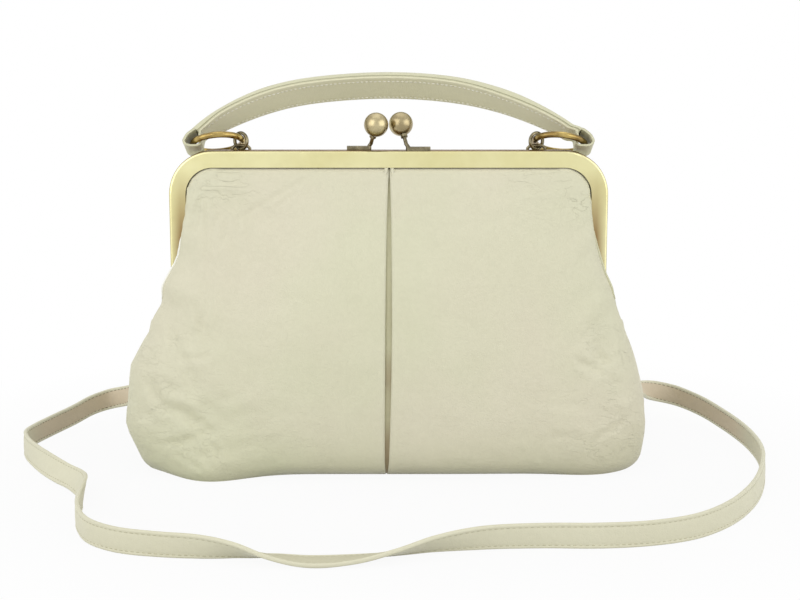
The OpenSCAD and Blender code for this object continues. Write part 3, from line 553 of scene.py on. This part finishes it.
def strap_seams():
    """Stitches along both edges of both faces, brown on the inner face behind the bag."""
    pitch, stitch = 3.0, 2.0
    run = run_length(strap_p)
    rail = np.concatenate([strap_p, strap_wide, strap_face], axis=1)

    def at(s, u, h):
        row = np.array([np.interp(s, run, column) for column in rail.T])
        return row[:3] + row[3:6] * u + row[6:] * h, row[6:]

    items = []
    for s in np.arange(4, run[-1] - 6, pitch):
        for u in (-STRAP_SEAM, STRAP_SEAM):
            for h in (1, -1):
                a, face = at(s, u, 0.9 * h)
                b, _ = at(s + stitch, u, 0.9 * h)
                items.append((a, b, face * h))
    obj = capsules("strap_stitches", items, strap_thread, 0.5, 0.3)
    obj.data.materials.append(brown_thread)
    count = len(obj.data.polygons)
    owner = [k // (count // len(items)) for k in range(count)]
    obj.data.polygons.foreach_set("material_index", [int(k % 2 and items[k][0][1] > 25) for k in owner])
    return obj


seams = strap_seams()
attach(seams, "bag")


def strap_turn(side):
    """The strap's end folded round the hook's bar and sewn to itself."""
    end = 0 if side < 0 else -1
    wide, face = strap_wide[end], strap_face[end]
    face = face if face[2] > 0 else -face
    back = strap_run[end] * -side
    bar = (hook_top + hook_run * 22.0) * [side, 1, 1]
    path = [bar + back * 16 + face * 2.9, bar + back * 5 + face * 2.9]
    for a in np.radians(90 - 15 * np.arange(13)):
        path.append(bar + (face * math.sin(a) - back * math.cos(a)) * 2.9)
    path.append(bar + back * 3.0 - face * 2.6)
    grid = np.array([[q + wide * u for u in (-6.2, -5.6, -2, 2, 5.6, 6.2)] for q in path])
    obj = slab(f"strap_fold_{SIDES[side]}", grid, SKIN_T, strap_leather)
    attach(obj, "bag")
    return obj


folds = [strap_turn(side) for side in SIDES]


# ---- leather body ----
def mouth_at(run):
    """Place of the mouth, x and z, at a distance from the middle, and how far it has turned down."""
    flat, bend = MOUTH_X - MOUTH_R, math.pi / 2 * MOUTH_R
    if run < flat:
        return run, MOUTH_TOP, 0.0
    if run < flat + bend:
        a = (run - flat) / MOUTH_R
        return flat + MOUTH_R * math.sin(a), MOUTH_TOP - MOUTH_R * (1 - math.cos(a)), a
    return MOUTH_X, MOUTH_TOP - MOUTH_R - (run - flat - bend), math.pi / 2


def lip_at(run):
    """Place where the leather comes out below the frame's flange."""
    x, z, a = mouth_at(run)
    inward = EDGE_GAP + (FLANGE_W - MOUTH_DOWN - 0.2) * (1 - math.sin(a))
    return x - inward * math.sin(a), z - inward * math.cos(a)


def slit_open(z):
    """Half width of the pleat's mouth: a long leaf, widest at mid height."""
    return np.interp(z, (0, 3, 12, 35, 60, 90, 121, 145, 164, 171),
                     (0.25, 0.6, 1.2, 1.55, 1.75, 1.8, 1.55, 1.2, 0.6, 0.08))


def slit_lean(z):
    """Sideways place of the pleat's middle line."""
    return np.interp(z, (0, 3, 12, 35, 60, 90, 170), (-1.3, -1.0, -0.8, -0.4, 0.0, 0.2, 0.4))


def low_point(f, z, slit):
    """Point of the lower skin: f runs from the middle, 0, to the side seam, 1."""
    e = 2 / shell_n(z)
    edge = shell_a(z) * math.cos(math.radians(GUSSET_HALF)) ** e
    inner = slit_open(z) if slit else 0.0
    x = inner + (edge - inner) * f
    y = -shell_b(z) * max(0.0, 1 - (x / shell_a(z)) ** shell_n(z)) ** (1 / shell_n(z))
    return np.array([x, float(y), z])


LOW_Z = np.concatenate([[0.0, 0.5, 1.2, 2.2, 3.4, 4.8, 6.4, 8.2], np.arange(10, 62.1, 2.0)])
SWEEP = 74


def skin_column(f, slit):
    """Points up the front leather at share f of its width: lower skin, free curve and mouth."""
    low = [low_point(f, z, slit) for z in LOW_Z]
    p0 = low[-1]
    t0 = (low[-1] - low[-3]) / (LOW_Z[-1] - LOW_Z[-3])
    inner = 0.35 if slit else 0.0
    run = inner + (MOUTH_RUN - inner) * f
    x3, z3 = lip_at(run)
    p3 = np.array([x3, MOUTH_Y - HIDE / 2, z3])
    k = (z3 - p0[2]) / 3
    side = f ** 5
    p1 = p0 + t0 * k + np.array([2.6 * side, -0.4, 0])
    p2 = p3 + np.array([2.2 * side, -20 + 11 * side, -k])
    v = (1 - (1 - np.linspace(0, 1, SWEEP + 1)[1:, None]) ** 1.25)
    curve = (1 - v) ** 3 * p0 + 3 * v * (1 - v) ** 2 * p1 + 3 * v * v * (1 - v) * p2 + v ** 3 * p3
    drop = np.linalg.norm(curve - p3, axis=1)
    curve[:, 1] -= 2.8 * (1 - np.exp(-drop / 0.9)) * np.exp(-(drop / 30) ** 2)
    x4, z4, _ = mouth_at(run)
    return np.array([*low, *curve, (x4, p3[1], z4)])


def smoothstep(a, b, x):
    t = np.clip((x - a) / (b - a), 0, 1)
    return t * t * (3 - 2 * t)


def bulge(v, middle, reach):
    return np.exp(-((v - middle) / reach) ** 2)


KNUCKLE_Z = np.arange(-5.0, 200.0, 1.0)


def knuckles(side):
    """Small bumps of a side edge at the heights KNUCKLE_Z."""
    return np.array([0.9 * swell(z * 0.11, 5.0 * side, 0) + 0.5 * swell(z * 0.3, 9.0 * side, 0)
                     for z in KNUCKLE_Z])


KNUCKLES = {side: knuckles(side) for side in SIDES}


# bulges of the side edges: size, height and reach in mm
OUT_LEFT = ((2.2, 0, 8), (4.4, 26, 12), (5.2, 57, 20), (3.0, 108, 8), (1.5, 88, 7))
OUT_RIGHT = ((3.6, 2, 9), (2.0, 24, 14), (1.2, 104, 9))


def slump(points, rear=False):
    """Settle the bag as it stands: fuller lower corners, a softer left side and a rounded base edge."""
    p = np.array(points, float)
    x, y, z = p[..., 0].copy(), p[..., 1].copy(), p[..., 2].copy()
    wide = smoothstep(70, 142, np.abs(x))
    left = x < 0
    out_left, out_right = [sum(size * bulge(z, at, reach) for size, at, reach in table)
                           for table in (OUT_LEFT, OUT_RIGHT)]
    bumps = np.where(left, np.interp(z, KNUCKLE_Z, KNUCKLES[-1]), 0.6 * np.interp(z, KNUCKLE_Z, KNUCKLES[1]))
    out = np.where(left, out_left, out_right) + bumps * smoothstep(14, 30, z) * smoothstep(150, 135, z)
    p[..., 0] = x + np.sign(x) * wide * out
    face = smoothstep(14, 32, np.abs(y))
    share = np.where(y > 0, 0.4, 0.4 if rear else 1.0)
    corner = np.where(left, bulge(x, -98, 30), bulge(x, 120, 28)) * share
    tuck = 7.0 * (1 - corner) * np.clip(1 - z / 9.0, 0, 1) ** 2
    sag = np.where(left, 13.0 * bulge(x, -103, 26), 2.0 * bulge(x, 118, 26)) * bulge(z, -2, 18) * share
    p[..., 1] = y - np.sign(y) * face * (tuck - sag)
    return p


# folds of the front leather: depth and half width in mm, then x and z of the line's points
FOLDS = [
    (1.7, 3.0, -141, 51.7, -134.8, 51, -132, 46.7, -128.6, 42.2, -123.4, 39.9, -117.8, 38.8, -110.2, 34.8,
     -105.5, 32, -99.2, 26.8, -94.8, 23.9),
    (0.9, 1.5, -123.9, 20.4, -116, 22.7, -110.4, 24.5, -104.8, 27.9),
    (0.9, 1.5, -105.6, 27.9, -102.6, 23.9, -95.5, 18.6, -93.6, 11.9),
    (0.8, 1.4, -118.7, 13.5, -111, 11, -106.5, 8.5, -102, 6.5),
    (0.8, 1.5, -134, 18.6, -126.1, 20.4, -116.6, 21, -108.8, 22.7, -99.3, 22.1),
    (0.6, 1.8, -119.2, 70.2, -111.4, 67.7, -105, 68.8, -98.1, 71.6),
    (0.8, 2.4, -103.3, 106, -102.4, 97, -104.2, 88, -102, 79.2, -95.9, 73.2),
    (0.7, 1.8, -107.1, 103, -107.8, 93.6, -105, 84.2, -108.9, 80.9),
    (0.8, 2.2, -121.4, 88, -121.9, 78.7, -117.5, 73.2, -115.3, 67.7, -112, 62.2, -111.5, 56.2),
    (0.8, 3.0, -112.9, 56.2, -105.2, 46.7, -99, 37.6),
    (0.6, 1.25, -43.4, 168.6, -49, 165.1, -57.2, 160.7, -60.6, 158.6, -67, 154.8, -73.7, 151.5, -78.7, 148,
     -85.1, 144.7, -89.6, 141.4),
    (0.45, 1.1, -51.2, 160.7, -58.2, 154.8, -64, 150),
    (0.5, 1.1, -77.2, 157.5, -84.2, 158, -90, 158.8, -97, 158.8, -103.2, 158, -107.1, 154.8, -109.4, 151.5),
    (0.6, 1.0, -109.9, 167.5, -107.4, 163.5, -103.1, 161.6),
    (0.5, 1.5, -94.5, 148, -96.6, 143.6, -97.6, 139.7),
    (0.5, 1.5, -82.2, 145.3, -84.9, 138.5),
    (0.6, 1.5, -108, 141.2, -111.4, 139.6, -114.2, 139.1),
    (0.5, 1.6, -91.4, 136.4, -92.9, 131),
    (0.8, 1.8, 103.2, 69.9, 107.3, 65.5, 116.7, 61.7, 118.4, 58.1),
    (0.7, 1.6, 121.1, 66.7, 125.3, 65, 129.4, 66.7, 132.2, 65.5),
    (0.7, 1.6, 122.8, 58.1, 127, 53.9, 132.3, 53.4),
    (0.7, 1.8, 118.3, 73.2, 119.5, 68.3, 123.6, 65.5),
    (1.3, 8.0, 118, 80, 124, 64),
    (0.9, 1.6, 134.9, 33.1, 131.1, 29.7, 124.2, 27, 120.1, 24.5, 114, 22.6),
    (0.6, 1.6, 111.5, 22.7, 102.8, 26.2, 94.4, 26.2, 87.5, 30.5),
]


def fold_depth(x, z):
    """Height of the named folds at grid points, outward positive."""
    total = np.zeros_like(x)
    for depth, width, *line in FOLDS:
        pts = np.array(line, float).reshape(-1, 2)
        run = run_length(pts)
        best = np.full_like(x, 1e9)
        along = np.zeros_like(x)
        for a, b, r in zip(pts[:-1], pts[1:], run):
            d = b - a
            size = np.linalg.norm(d)
            t = np.clip(((x - a[0]) * d[0] + (z - a[1]) * d[1]) / size ** 2, 0, 1)
            gap = np.hypot(x - a[0] - t * d[0], z - a[1] - t * d[1])
            near = gap < best
            best = np.where(near, gap, best)
            along = np.where(near, (r + t * size) / run[-1], along)
        fade = np.clip(np.minimum(along, 1 - along) * 5 + 0.15, 0, 1)
        total += depth * fade * (0.4 * bulge(best, 2.1 * width, width) - bulge(best, 0, width))
    return total


def wrinkles(p, side, rear):
    """Height in mm of the soft leather's folds at a point, outward positive."""
    x, _, z = p
    ax = abs(x)
    seed = (7.3 if side < 0 else 31.7) + (50 if rear else 0)
    worn = 1.0 if side < 0 else 0.65
    fade = smoothstep(172, 160, z) * smoothstep(1.5, 10, ax)
    # crumpled lower corners
    low = smoothstep(30, 105, ax) * smoothstep(70, 35, z) * smoothstep(0, 10, z)
    v = Vector((x * 0.032, z * 0.075 + x * side * 0.018, seed))
    crumple = noise.ridged_multi_fractal(v, 0.9, 2.1, 4, 1.0, 2.0) - 1.1
    h = -1.15 * low * worn * max(-1.0, min(1.2, crumple))
    # long soft folds down the sides
    edge = smoothstep(70, 118, ax) * smoothstep(165, 140, z) * smoothstep(35, 60, z)
    v = Vector((x * 0.02, z * 0.05 - ax * 0.03, seed + 9))
    h += 1.7 * edge * worn * noise.noise(v * 1.4)
    # drawn lines from the frame's corners
    d = math.hypot(ax - 104, z - 162)
    a = math.atan2(162 - z, 104 - ax)
    pull = smoothstep(75, 20, d) * smoothstep(0, 12, d)
    h += 0.9 * pull * worn * swell(a * 4.5, d * 0.012, seed + 21)
    # broad unevenness
    h += swell(x * 0.014, z * 0.018, seed + 33)
    h += 0.22 * swell(x * 0.06, z * 0.07, seed + 40)
    # slack above the base
    h += 0.5 * smoothstep(0, 6, z) * smoothstep(26, 8, z) * swell(x * 0.05, z * 0.1, seed + 60)
    return float(h * fade * smoothstep(0, 5, z))


def slit_share(z):
    """1 over the slit's height, 0 at its ends."""
    return smoothstep(172, 165, z) * smoothstep(0, 8, z)


FLAP = 4  # columns of leather turned in beyond the side


def half_skin(side, slit, steps, rear=False):
    """Grid of one half of the skin, from the middle out to the side and round the fold."""
    share = np.linspace(0, 1, steps + 1)
    fs = 0.45 * share + 0.55 * np.sin(np.linspace(0, math.pi / 2, steps + 1))
    cols = [skin_column(f, slit) for f in fs]
    x, y, z = cols[-1].T
    free = smoothstep(86, 97, z) * (1 - smoothstep(138, 147, z))
    for k in range(1, FLAP + 1):
        share = (k / FLAP) * free
        under = np.where(z < 90, (1 - free) * 1.2 * k, 0.0)
        cols.append(np.stack([x - (x - 114.4) * share + 0.12 * under,
                              y + np.maximum(0, -7.5 - y) * (1 - (1 - share) ** 2) + 0.25 * under, z], axis=1))
    grid = np.stack(cols, axis=1)
    if slit:
        near = bulge(grid[:, :, 0], 0, 14)
        z0 = grid[:, :1, 2]
        grid[:, :, 0] += (slit_open(z0) - grid[:, :1, 0] + side * slit_lean(z0)) * near
    grid = slump(grid * [side, 1, 1], rear) * [side, 1, 1]
    normal = grid_normals(grid)
    folds = np.zeros(grid.shape[:2]) if rear else fold_depth(grid[:, :, 0] * side, grid[:, :, 2])
    seam = 1 - smoothstep(0.9, 1.0, fs)
    for i in range(grid.shape[0]):
        for j in range(steps + 1):
            p, n = grid[i, j], normal[i, j]
            q = p * [side, 1, 1]
            h = (wrinkles(q, side, rear) + folds[i, j] * smoothstep(0, 5, q[2])) * seam[j]
            grid[i, j] = p + (n if n[1] < 0 else -n) * h
            grid[i, j, 2] = max(grid[i, j, 2], 0.0)
    if slit:
        # the edge of the slit rolls inward
        rolls = []
        for depth, inset in ((2.6, 2.6), (2.2, 0.9), (1.1, 0.1), (0.35, 0.02)):
            c = grid[:, 0].copy()
            c[:, 1] += depth * (0.3 + 0.7 * slit_share(c[:, 2]))
            c[:, 0] += inset
            c[:, 2] += 0.8 * depth * (1 - smoothstep(0, 6, c[:, 2]))
            rolls.append(c)
        grid[:, 0, 1] += 0.12
        grid = np.concatenate([np.stack(rolls, axis=1), grid], axis=1)
    grid[:, :, 0] *= side
    return grid


def join_objects(name, parts):
    bpy.ops.object.select_all(action="DESELECT")
    for o in parts:
        o.select_set(True)
    bpy.context.view_layer.objects.active = parts[0]
    bpy.ops.object.join()
    parts[0].name = name
    return parts[0]


def front_skin():
    right, left = half_skin(1, True, 100), half_skin(-1, True, 100)
    obj = join_objects("front_skin", [slab("front_skin", right, SKIN_T, leather),
                                      slab("front_skin_b", left[:, ::-1], SKIN_T, leather)])
    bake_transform(obj)
    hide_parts("front_panel_upper", "front_panel_lower")
    return right, left


def rear_skin():
    right, left = half_skin(1, False, 72, rear=True), half_skin(-1, False, 72, rear=True)
    full = np.concatenate([left[:, :0:-1], right], axis=1)
    full[:, :, 1] *= -1
    obj = slab("rear_skin", full, SKIN_T, leather, flip=True)
    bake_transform(obj)
    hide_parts("rear_panel_upper", "rear_panel_lower")
    return full


front_right, front_left = front_skin()


def turned_edge(side, grid):
    """The raw edge of the front leather where it leaves the frame's leg."""
    column = grid[:, -FLAP - 1]
    keep = column[(column[:, 2] > 98) & (column[:, 2] < 143)]
    count, around = len(keep), 8
    verts = []
    for i, q in enumerate(keep):
        r = 0.8 * min(1, (i + 1) / 6, (count - i) / 12)
        verts += [q + np.array([side * (0.15 + r * math.cos(a)), -0.25 + r * math.sin(a), 0])
                  for a in np.linspace(0, 2 * math.pi, around, endpoint=False)]
    faces = grid_faces(count, around, wrap=True, flip=side < 0) + end_caps(count, around)
    # the left edge has the painted highlight, the right one the plain handle leather
    obj = make_object(f"turned_edge_{SIDES[side]}", verts, faces, edge_highlight_leather if side < 0 else handle_leather)
    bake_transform(obj)


turned_edge(1, front_right)
turned_edge(-1, front_left)
rear_full = rear_skin()


def pleat_strip():
    """The inner fold of the pleat, seen through the slit."""
    column = slump(skin_column(0.0, True))
    rows = []
    for x0, y0, z in zip(slit_lean(column[:, 2]), column[:, 1], column[:, 2]):
        depth = 0.9 + 0.9 * slit_share(z)
        rows.append([(x0 + x, y0 + depth + (1.4 if abs(x) > 2.5 else 0) + 0.02 * abs(x) ** 1.3, max(z, 0.6))
                     for x in (-9, -6, -3, -2.2, -1, 0, 1, 2.2, 3, 6, 9)])
    obj = slab("pleat_inside", np.array(rows[2:-2]), 0.9, pleat_leather)
    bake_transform(obj)


pleat_strip()


def gusset_skin(side):
    angles = np.linspace(-16.5, 16.5, 23)
    levels = [0.0, 0.8, 2, 4, 7, 10.5, 15, 20, 26, 32, 38, 45, 52, 59, 66, 73, 79, 84, 88, 90.5, 92, 92.4, 91.6]
    tuck = [0] * 18 + [0.5, 1.6, 3.2, 5.2, 7.0]
    rows = []
    for z, t in zip(levels, tuck):
        row = []
        for a in angles:
            p = shell_point(a, min(z, 89), 0.55 * smoothstep(13.2, 14.5, abs(a)) + t)
            crease = swell(a * 0.06, z * 0.05, 3.0 + side)
            p[0] += 0.8 * crease * smoothstep(2, 12, z) * smoothstep(89, 70, z) * smoothstep(13.5, 9, abs(a))
            row.append((p[0] * side, p[1], z))
        rows.append(row)
    obj = slab(f"gusset_skin_{SIDES[side]}", slump(rows), SKIN_T, leather, flip=side < 0)
    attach(obj, "bag")
    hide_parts(f"gusset_{SIDES[side]}")


def base_skin():
    """The bottom panel, set just inside the rounded edge of the sides."""
    ring = np.array([slump(shell_point(a, 0.0, 0.9)) for a in np.arange(0, 360, 3.0)])
    rings = [ring * [1, 1, 0] + [0, 0, 1.5]]
    for share, z in ((0.995, 0.7), (0.97, 0.15), (0.94, 0.0), (0.86, 0.02), (0.6, 0.1), (0.3, 0.15)):
        rings.append(ring * [share, share, 0] + [0, 0, z])
    count = len(ring)
    grid = np.array(rings)
    verts = list(grid.reshape(-1, 3)) + [(0, 0, 0.15)] + [(*v[:2], 1.6) for v in ring] + [(0, 0, 1.6)]
    faces = grid_faces(len(rings), count, wrap=True, flip=True)
    last, hub = (len(rings) - 1) * count, len(rings) * count
    lid = hub + 1
    for k in range(count):
        m = (k + 1) % count
        faces += [(last + m, last + k, hub), (lid + k, lid + m, lid + count), (k, m, lid + m, lid + k)]
    obj = make_object("base_skin", verts, faces, leather)
    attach(obj, "bag")
    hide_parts("base_panel")


base_skin()
gusset_skin(-1)
gusset_skin(1)


def side_tab(side):
    """Leather tab that holds the side ring."""
    bar = BAR_AT * [side, 1, 1]
    rows = []
    for z in (86, 84, 80, 75, 70, 66.5, 64.6):
        rows.append([shell_point(30 + a, z, -0.4) * [side, 1, 1] for a in (-3.7, -3.5, -1.8, 0, 1.8, 3.5, 3.7)])
    base = np.array(rows)
    lift = shell_point(30, 75, -1) - shell_point(30, 75, 0)
    lift = lift / np.linalg.norm(lift) * [side, 1, 1]
    tangent = base[0, -1] - base[0, 0]
    tangent[2] = 0
    tangent /= np.linalg.norm(tangent)
    loop = []
    for a in np.radians(60 + 24 * np.arange(14)):
        loop.append([bar + lift * 2.7 * math.cos(a) + np.array([0, 0, 2.7 * math.sin(a)]) + tangent * u
                     for u in (-5.6, -5.2, -2, 0, 2, 5.2, 5.6)])
    name = f"side_tab_{SIDES[side]}"
    obj = join_objects(name, [slab(name, base + lift * 2.0, 2.0, handle_leather, flip=side < 0),
                              slab(f"side_tab_loop_{SIDES[side]}", np.array(loop), 1.1, handle_leather,
                                   flip=side > 0)])
    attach(obj, "bag")
    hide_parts(f"strap_tab_{SIDES[side]}")


side_tab(-1)
side_tab(1)


# ---- lining ----
def lining_from(grid, name, node, flip=False):
    """Lining cloth 2.1 mm inside the upper part of a skin."""
    g = grid[grid[:, :, 2].mean(axis=1) > 56][::2, ::3]
    g = g + grid_normals(g) * (2.1 if flip else -2.1)
    obj = slab(name, g, 0.6, lining, flip=flip)
    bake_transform(obj)
    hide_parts(node)


front_plain = np.concatenate([half_skin(-1, False, 60)[:, :0:-1], half_skin(1, False, 60)], axis=1)
front_plain[:, :, 1] += 3.2 * np.exp(-(front_plain[:, :, 0] / 16.0) ** 4)
lining_from(front_plain, "front_lining_skin", "front_lining_upper")
lining_from(rear_full, "rear_lining_skin", "rear_lining_upper", flip=True)


def lining_sack():
    """Cloth sack of the lower part, with a slip pocket at the back."""
    around = 96
    levels = [(3.4, 9), (3.5, 5.6), (5, 3.9), (9, 2.1), (16, 2.1), (26, 2.1), (38, 2.1), (50, 2.1), (60, 2.1),
              (68, 2.3), (73, 2.7)]
    outer = np.array([[shell_point(a, z, t) for a in np.arange(around) * 360 / around] for z, t in levels])
    front = outer[:, :, 1] < 0
    outer[:, :, 1] += front * 3.4 * np.exp(-(outer[:, :, 0] / 34.0) ** 4)
    inner = outer * [0.994, 0.986, 1]
    inner[:, :, 2] += np.where(inner[:, :, 2] < 4, 0.6, 0)
    rows, count = len(levels), len(levels) * around
    faces = grid_faces(rows, around, wrap=True) + grid_faces(rows, around, count, wrap=True, flip=True)
    faces += [tuple(range(around - 1, -1, -1)), tuple(range(count, count + around))]
    last = count - around
    for k in range(around):
        m = (k + 1) % around
        faces.append((last + k, last + m, count + last + m, count + last + k))
    obj = make_object("lining_sack", [*outer.reshape(-1, 3), *inner.reshape(-1, 3)], faces, lining)
    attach(obj, "bag")
    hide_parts("lower_lining")
    pocket_rows = [[shell_point(a, z, 4.0) for a in np.linspace(70, 110, 21)[::-1]]
                   for z in (20, 26, 32, 38, 44, 50, 55, 56)]
    pocket = slab("pocket_skin", np.array(pocket_rows), 0.7, lining)
    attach(pocket, "bag")
    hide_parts("inner_pocket")


lining_sack()

# ---- handle ----
EYE_Y = 8.7
RING_Y = EYE_Y + 0.6
RING_Z = FRAME_TOP + 3.3
RING_R = 14.4
RING_ROLL = math.asin((FRAME_TOP + 2 + 0.9 + 1.8 + 0.15 - RING_Z) / RING_R)
SPAN = 109.4
RISE = 36.0
DOME = 8.0
LEAN_MID, LEAN_END = 35.0, 23.0
HANDLE_RISE = 1.2


def leaned(lean):
    """Directions up and across the handle's width where it leans back by an angle."""
    return np.array([0, math.sin(lean), math.cos(lean)]), np.array([0, -math.cos(lean), math.sin(lean)])


def handle_frame(s):
    """Centre of the inner face at s, and the directions across and outward."""
    def raw(t):
        t = min(max(t, -1), 1)
        return np.array([SPAN * t, RISE * max(0, 1 - t * t) ** 0.8 + HANDLE_RISE])
    run = raw(s + 0.01) - raw(s - 0.01)
    run /= np.linalg.norm(run)
    x, up = raw(s)
    up -= 2.6 * smoothstep(0.3, 0.85, s) * (1 - smoothstep(0.93, 0.985, s))
    up += 1.2 * math.exp(-((s + 0.55) / 0.25) ** 2)
    lean = math.radians(LEAN_MID + (LEAN_END - LEAN_MID) * abs(s) ** 2.5)
    centre = np.array([x, RING_Y, RING_Z]) + leaned(lean)[0] * up
    twist = 4 + 5 * math.exp(-((s + 0.75) / 0.3) ** 2) - 4 * smoothstep(0.3, 0.65, s)
    upward, across = leaned(lean + math.radians(twist * (1 - smoothstep(0.86, 0.97, abs(s)))))
    return centre, across, np.array([-run[1], 0, 0]) + upward * run[0]


HANDLE_S = 0.985 * np.sin(np.linspace(-math.pi / 2, math.pi / 2, 121))
# outer cover section: place across the width, height above the inner face
COVER_EDGE = [(10.5, 1.0), (10.5, 1.35), (10.25, 1.95), (9.4, 1.9), (8.7, 1.75), (8.3, 1.95), (8.0, 2.9)]
COVER = ([(-u, h) for u, h in COVER_EDGE]
         + [(u, 1.8 + DOME * (1 - abs(u / 8.4) ** 2.4) ** 0.7)
            for u in (-7.4, -6.2, -4.5, -2.3, 0, 2.3, 4.5, 6.2, 7.4)]
         + COVER_EDGE[::-1])


def handle_tube(name, section, flip, material, slots=None):
    """A section drawn along the handle; its dome is lower toward the ends."""
    verts = []
    for s in HANDLE_S:
        c, across, out = handle_frame(s)
        taper = 1 - 0.08 * smoothstep(0.9, 1.0, abs(s))
        thin = 1 - 0.32 * smoothstep(0.6, 1.0, abs(s)) - (0.12 * smoothstep(0.3, 0.9, s))
        verts += [c + across * u * taper + out * (h if h < 3 else 1.8 + (h - 1.8) * thin) for u, h in section]
    faces = grid_faces(len(HANDLE_S), len(section), wrap=True, flip=flip)
    faces += end_caps(len(HANDLE_S), len(section), flip=not flip)
    return make_object(name, verts, faces, material, slots)


def handle_cover():
    count = len(COVER)
    sides = (len(HANDLE_S) - 1) * count
    # painted shade: the two grooves along the cover's edges get a dark leather
    slots = [int(k < sides and k % count in (1, count - 3)) for k in range(sides + 2)]
    obj = handle_tube("handle_pad", COVER, True, [handle_leather, groove_shade_leather], slots)
    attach(obj, "handle")
    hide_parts("handle_cover", "handle_filler")


UNDER = [(-10.3, 0.95), (-10.4, 0.5), (-10.2, 0.1), (-9.6, 0.0), (-8.8, 0.04), (-8.4, 0.2), (-8.0, 0.04),
         (-6, 0.0), (0, 0.0), (5, 0.0), (6.4, 0.04), (6.8, 0.2), (7.2, 0.04), (9.6, 0.0), (10.2, 0.1), (10.4, 0.5),
         (10.3, 0.95)]


def handle_under():
    obj = handle_tube("handle_under", UNDER, False, under_leather_lightened)
    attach(obj, "handle")
    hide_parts("handle_backing")


def handle_seams():
    """Two rows of stitches on the inner face and two on the cover's edges."""
    pitch, stitch = 2.6, 1.75
    s_fine = np.linspace(-0.955, 0.955, 1200)
    run = run_length(np.array([handle_frame(s)[0] for s in s_fine]))
    items = []
    for d in np.arange(1.0, run[-1] - 3, pitch):
        s0, s1 = np.interp([d, d + stitch], run, s_fine)
        c0, a0, o0 = handle_frame(s0)
        c1, a1, o1 = handle_frame(s1)
        for u, rim in ((-8.4, -8.6), (6.8, 8.6)):
            items.append((c0 + a0 * u + o0 * 0.05, c1 + a1 * u + o1 * 0.05, -o0))
            items.append((c0 + a0 * rim + o0 * 1.8, c1 + a1 * rim + o1 * 1.8, o0))
    obj = capsules("handle_stitches", items, thread, 0.8, 0.75)
    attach(obj, "handle")


handle_cover()
handle_under()
handle_seams()


def handle_wrap(side):
    """Leather loop round the ring's outer end, from the inner face to the outer one."""
    upward, across = leaned(math.radians(LEAN_END))
    wx = 98.4 + RING_R * math.cos(RING_ROLL)
    wh = -RING_R * math.sin(RING_ROLL)
    profile = [(106.6, 4.6), (107.0, 3.2), (107.2, 1.6), (107.3, 0.2), (107.4, -1.2)]
    r = 3.4
    for a in np.radians(200 + 13.2 * np.arange(15)):
        cx, rx = (wx, 4.7) if math.cos(a) > 0 else (wx - 3.2, r)
        profile.append((cx + rx * math.cos(a), wh + r * math.sin(a)))
    profile += [(115.6, 2.4), (113.6, 4.2), (111.9, 5.5), (110.6, 6.1)]
    pts, _ = smooth_path([(x, h, 0.0) for x, h in profile], 0.55)
    rows = []
    for (x, h, _), t in zip(pts, np.linspace(0, 1, len(pts))):
        half = 9.6 - 0.35 * math.sin(math.pi * t)
        rows.append([np.array([x * side, RING_Y, RING_Z]) + upward * h + across * u * half
                     for u in (-1, -0.985, -0.9, -0.5, 0, 0.5, 0.9, 0.985, 1)])
    obj = slab(f"handle_wrap_{SIDES[side]}", np.array(rows), 1.25, handle_leather, flip=side > 0)
    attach(obj, "handle")
    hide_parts(f"handle_loop_{SIDES[side]}")


handle_wrap(-1)
handle_wrap(1)


# ---- stage and light ----
def stage_floor():
    """White floor: lit near the bag, and plain white to the camera farther off."""
    size = 6.0
    mesh = bpy.data.meshes.new("floor")
    corners = [(-size, -size, 0), (size, -size, 0), (size, size, 0), (-size, size, 0)]
    mesh.from_pydata(corners, [], [(0, 1, 2, 3)])
    m = new_material("floor")
    mesh.materials.append(m.finish((0.66, 0.66, 0.65, 1), 0.9, Specular_IOR_Level=0.0))
    glow = m.new("ShaderNodeEmission", Color=(1, 1, 1, 1), Strength=1.0)
    reach = m.new("ShaderNodeVectorMath", m.coords(), operation="LENGTH").outputs["Value"]
    near = m.ramp(reach, (0.18, 0.93), (0.34, 1))
    m.surface("Material Output", m.times(near, m.seen_by("Camera", "Glossy")), m.bsdf, glow)
    floor = bpy.data.objects.new("floor", mesh)
    floor.location = (0, 0, -0.0001)
    scene.collection.objects.link(floor)


# name, place and size in metres, and power
LAMPS = (("key", (-1.25, -1.1, 0.7), 1.8, 14.5), ("fill", (1.5, -0.85, 0.5), 1.8, 14.0),
         ("top", (0.0, 0.3, 1.7), 1.5, 3.5))


def studio_light():
    """White surroundings, softer on the bag than to the eye, and three area lamps."""
    scene.world = bpy.data.worlds.new("studio")
    m = Nodes(scene.world)
    back = m.tree.nodes["Background"]
    m.fill(back, Color=(1, 1, 1, 1), Strength=0.62)
    white = m.new("ShaderNodeBackground", Color=(1, 1, 1, 1), Strength=1.0)
    m.surface("World Output", m.seen_by("Camera", "Glossy", "Transmission"), back, white)
    target = Vector((0, 0, 0.1))
    for name, place, size, power in LAMPS:
        data = bpy.data.lights.new(name, "AREA")
        data.shape = "SQUARE"
        data.size = size
        data.energy = power
        light = bpy.data.objects.new(name, data)
        light.location = place
        light.rotation_euler = (target - Vector(place)).to_track_quat("-Z", "Y").to_euler()
        scene.collection.objects.link(light)


stage_floor()
studio_light()
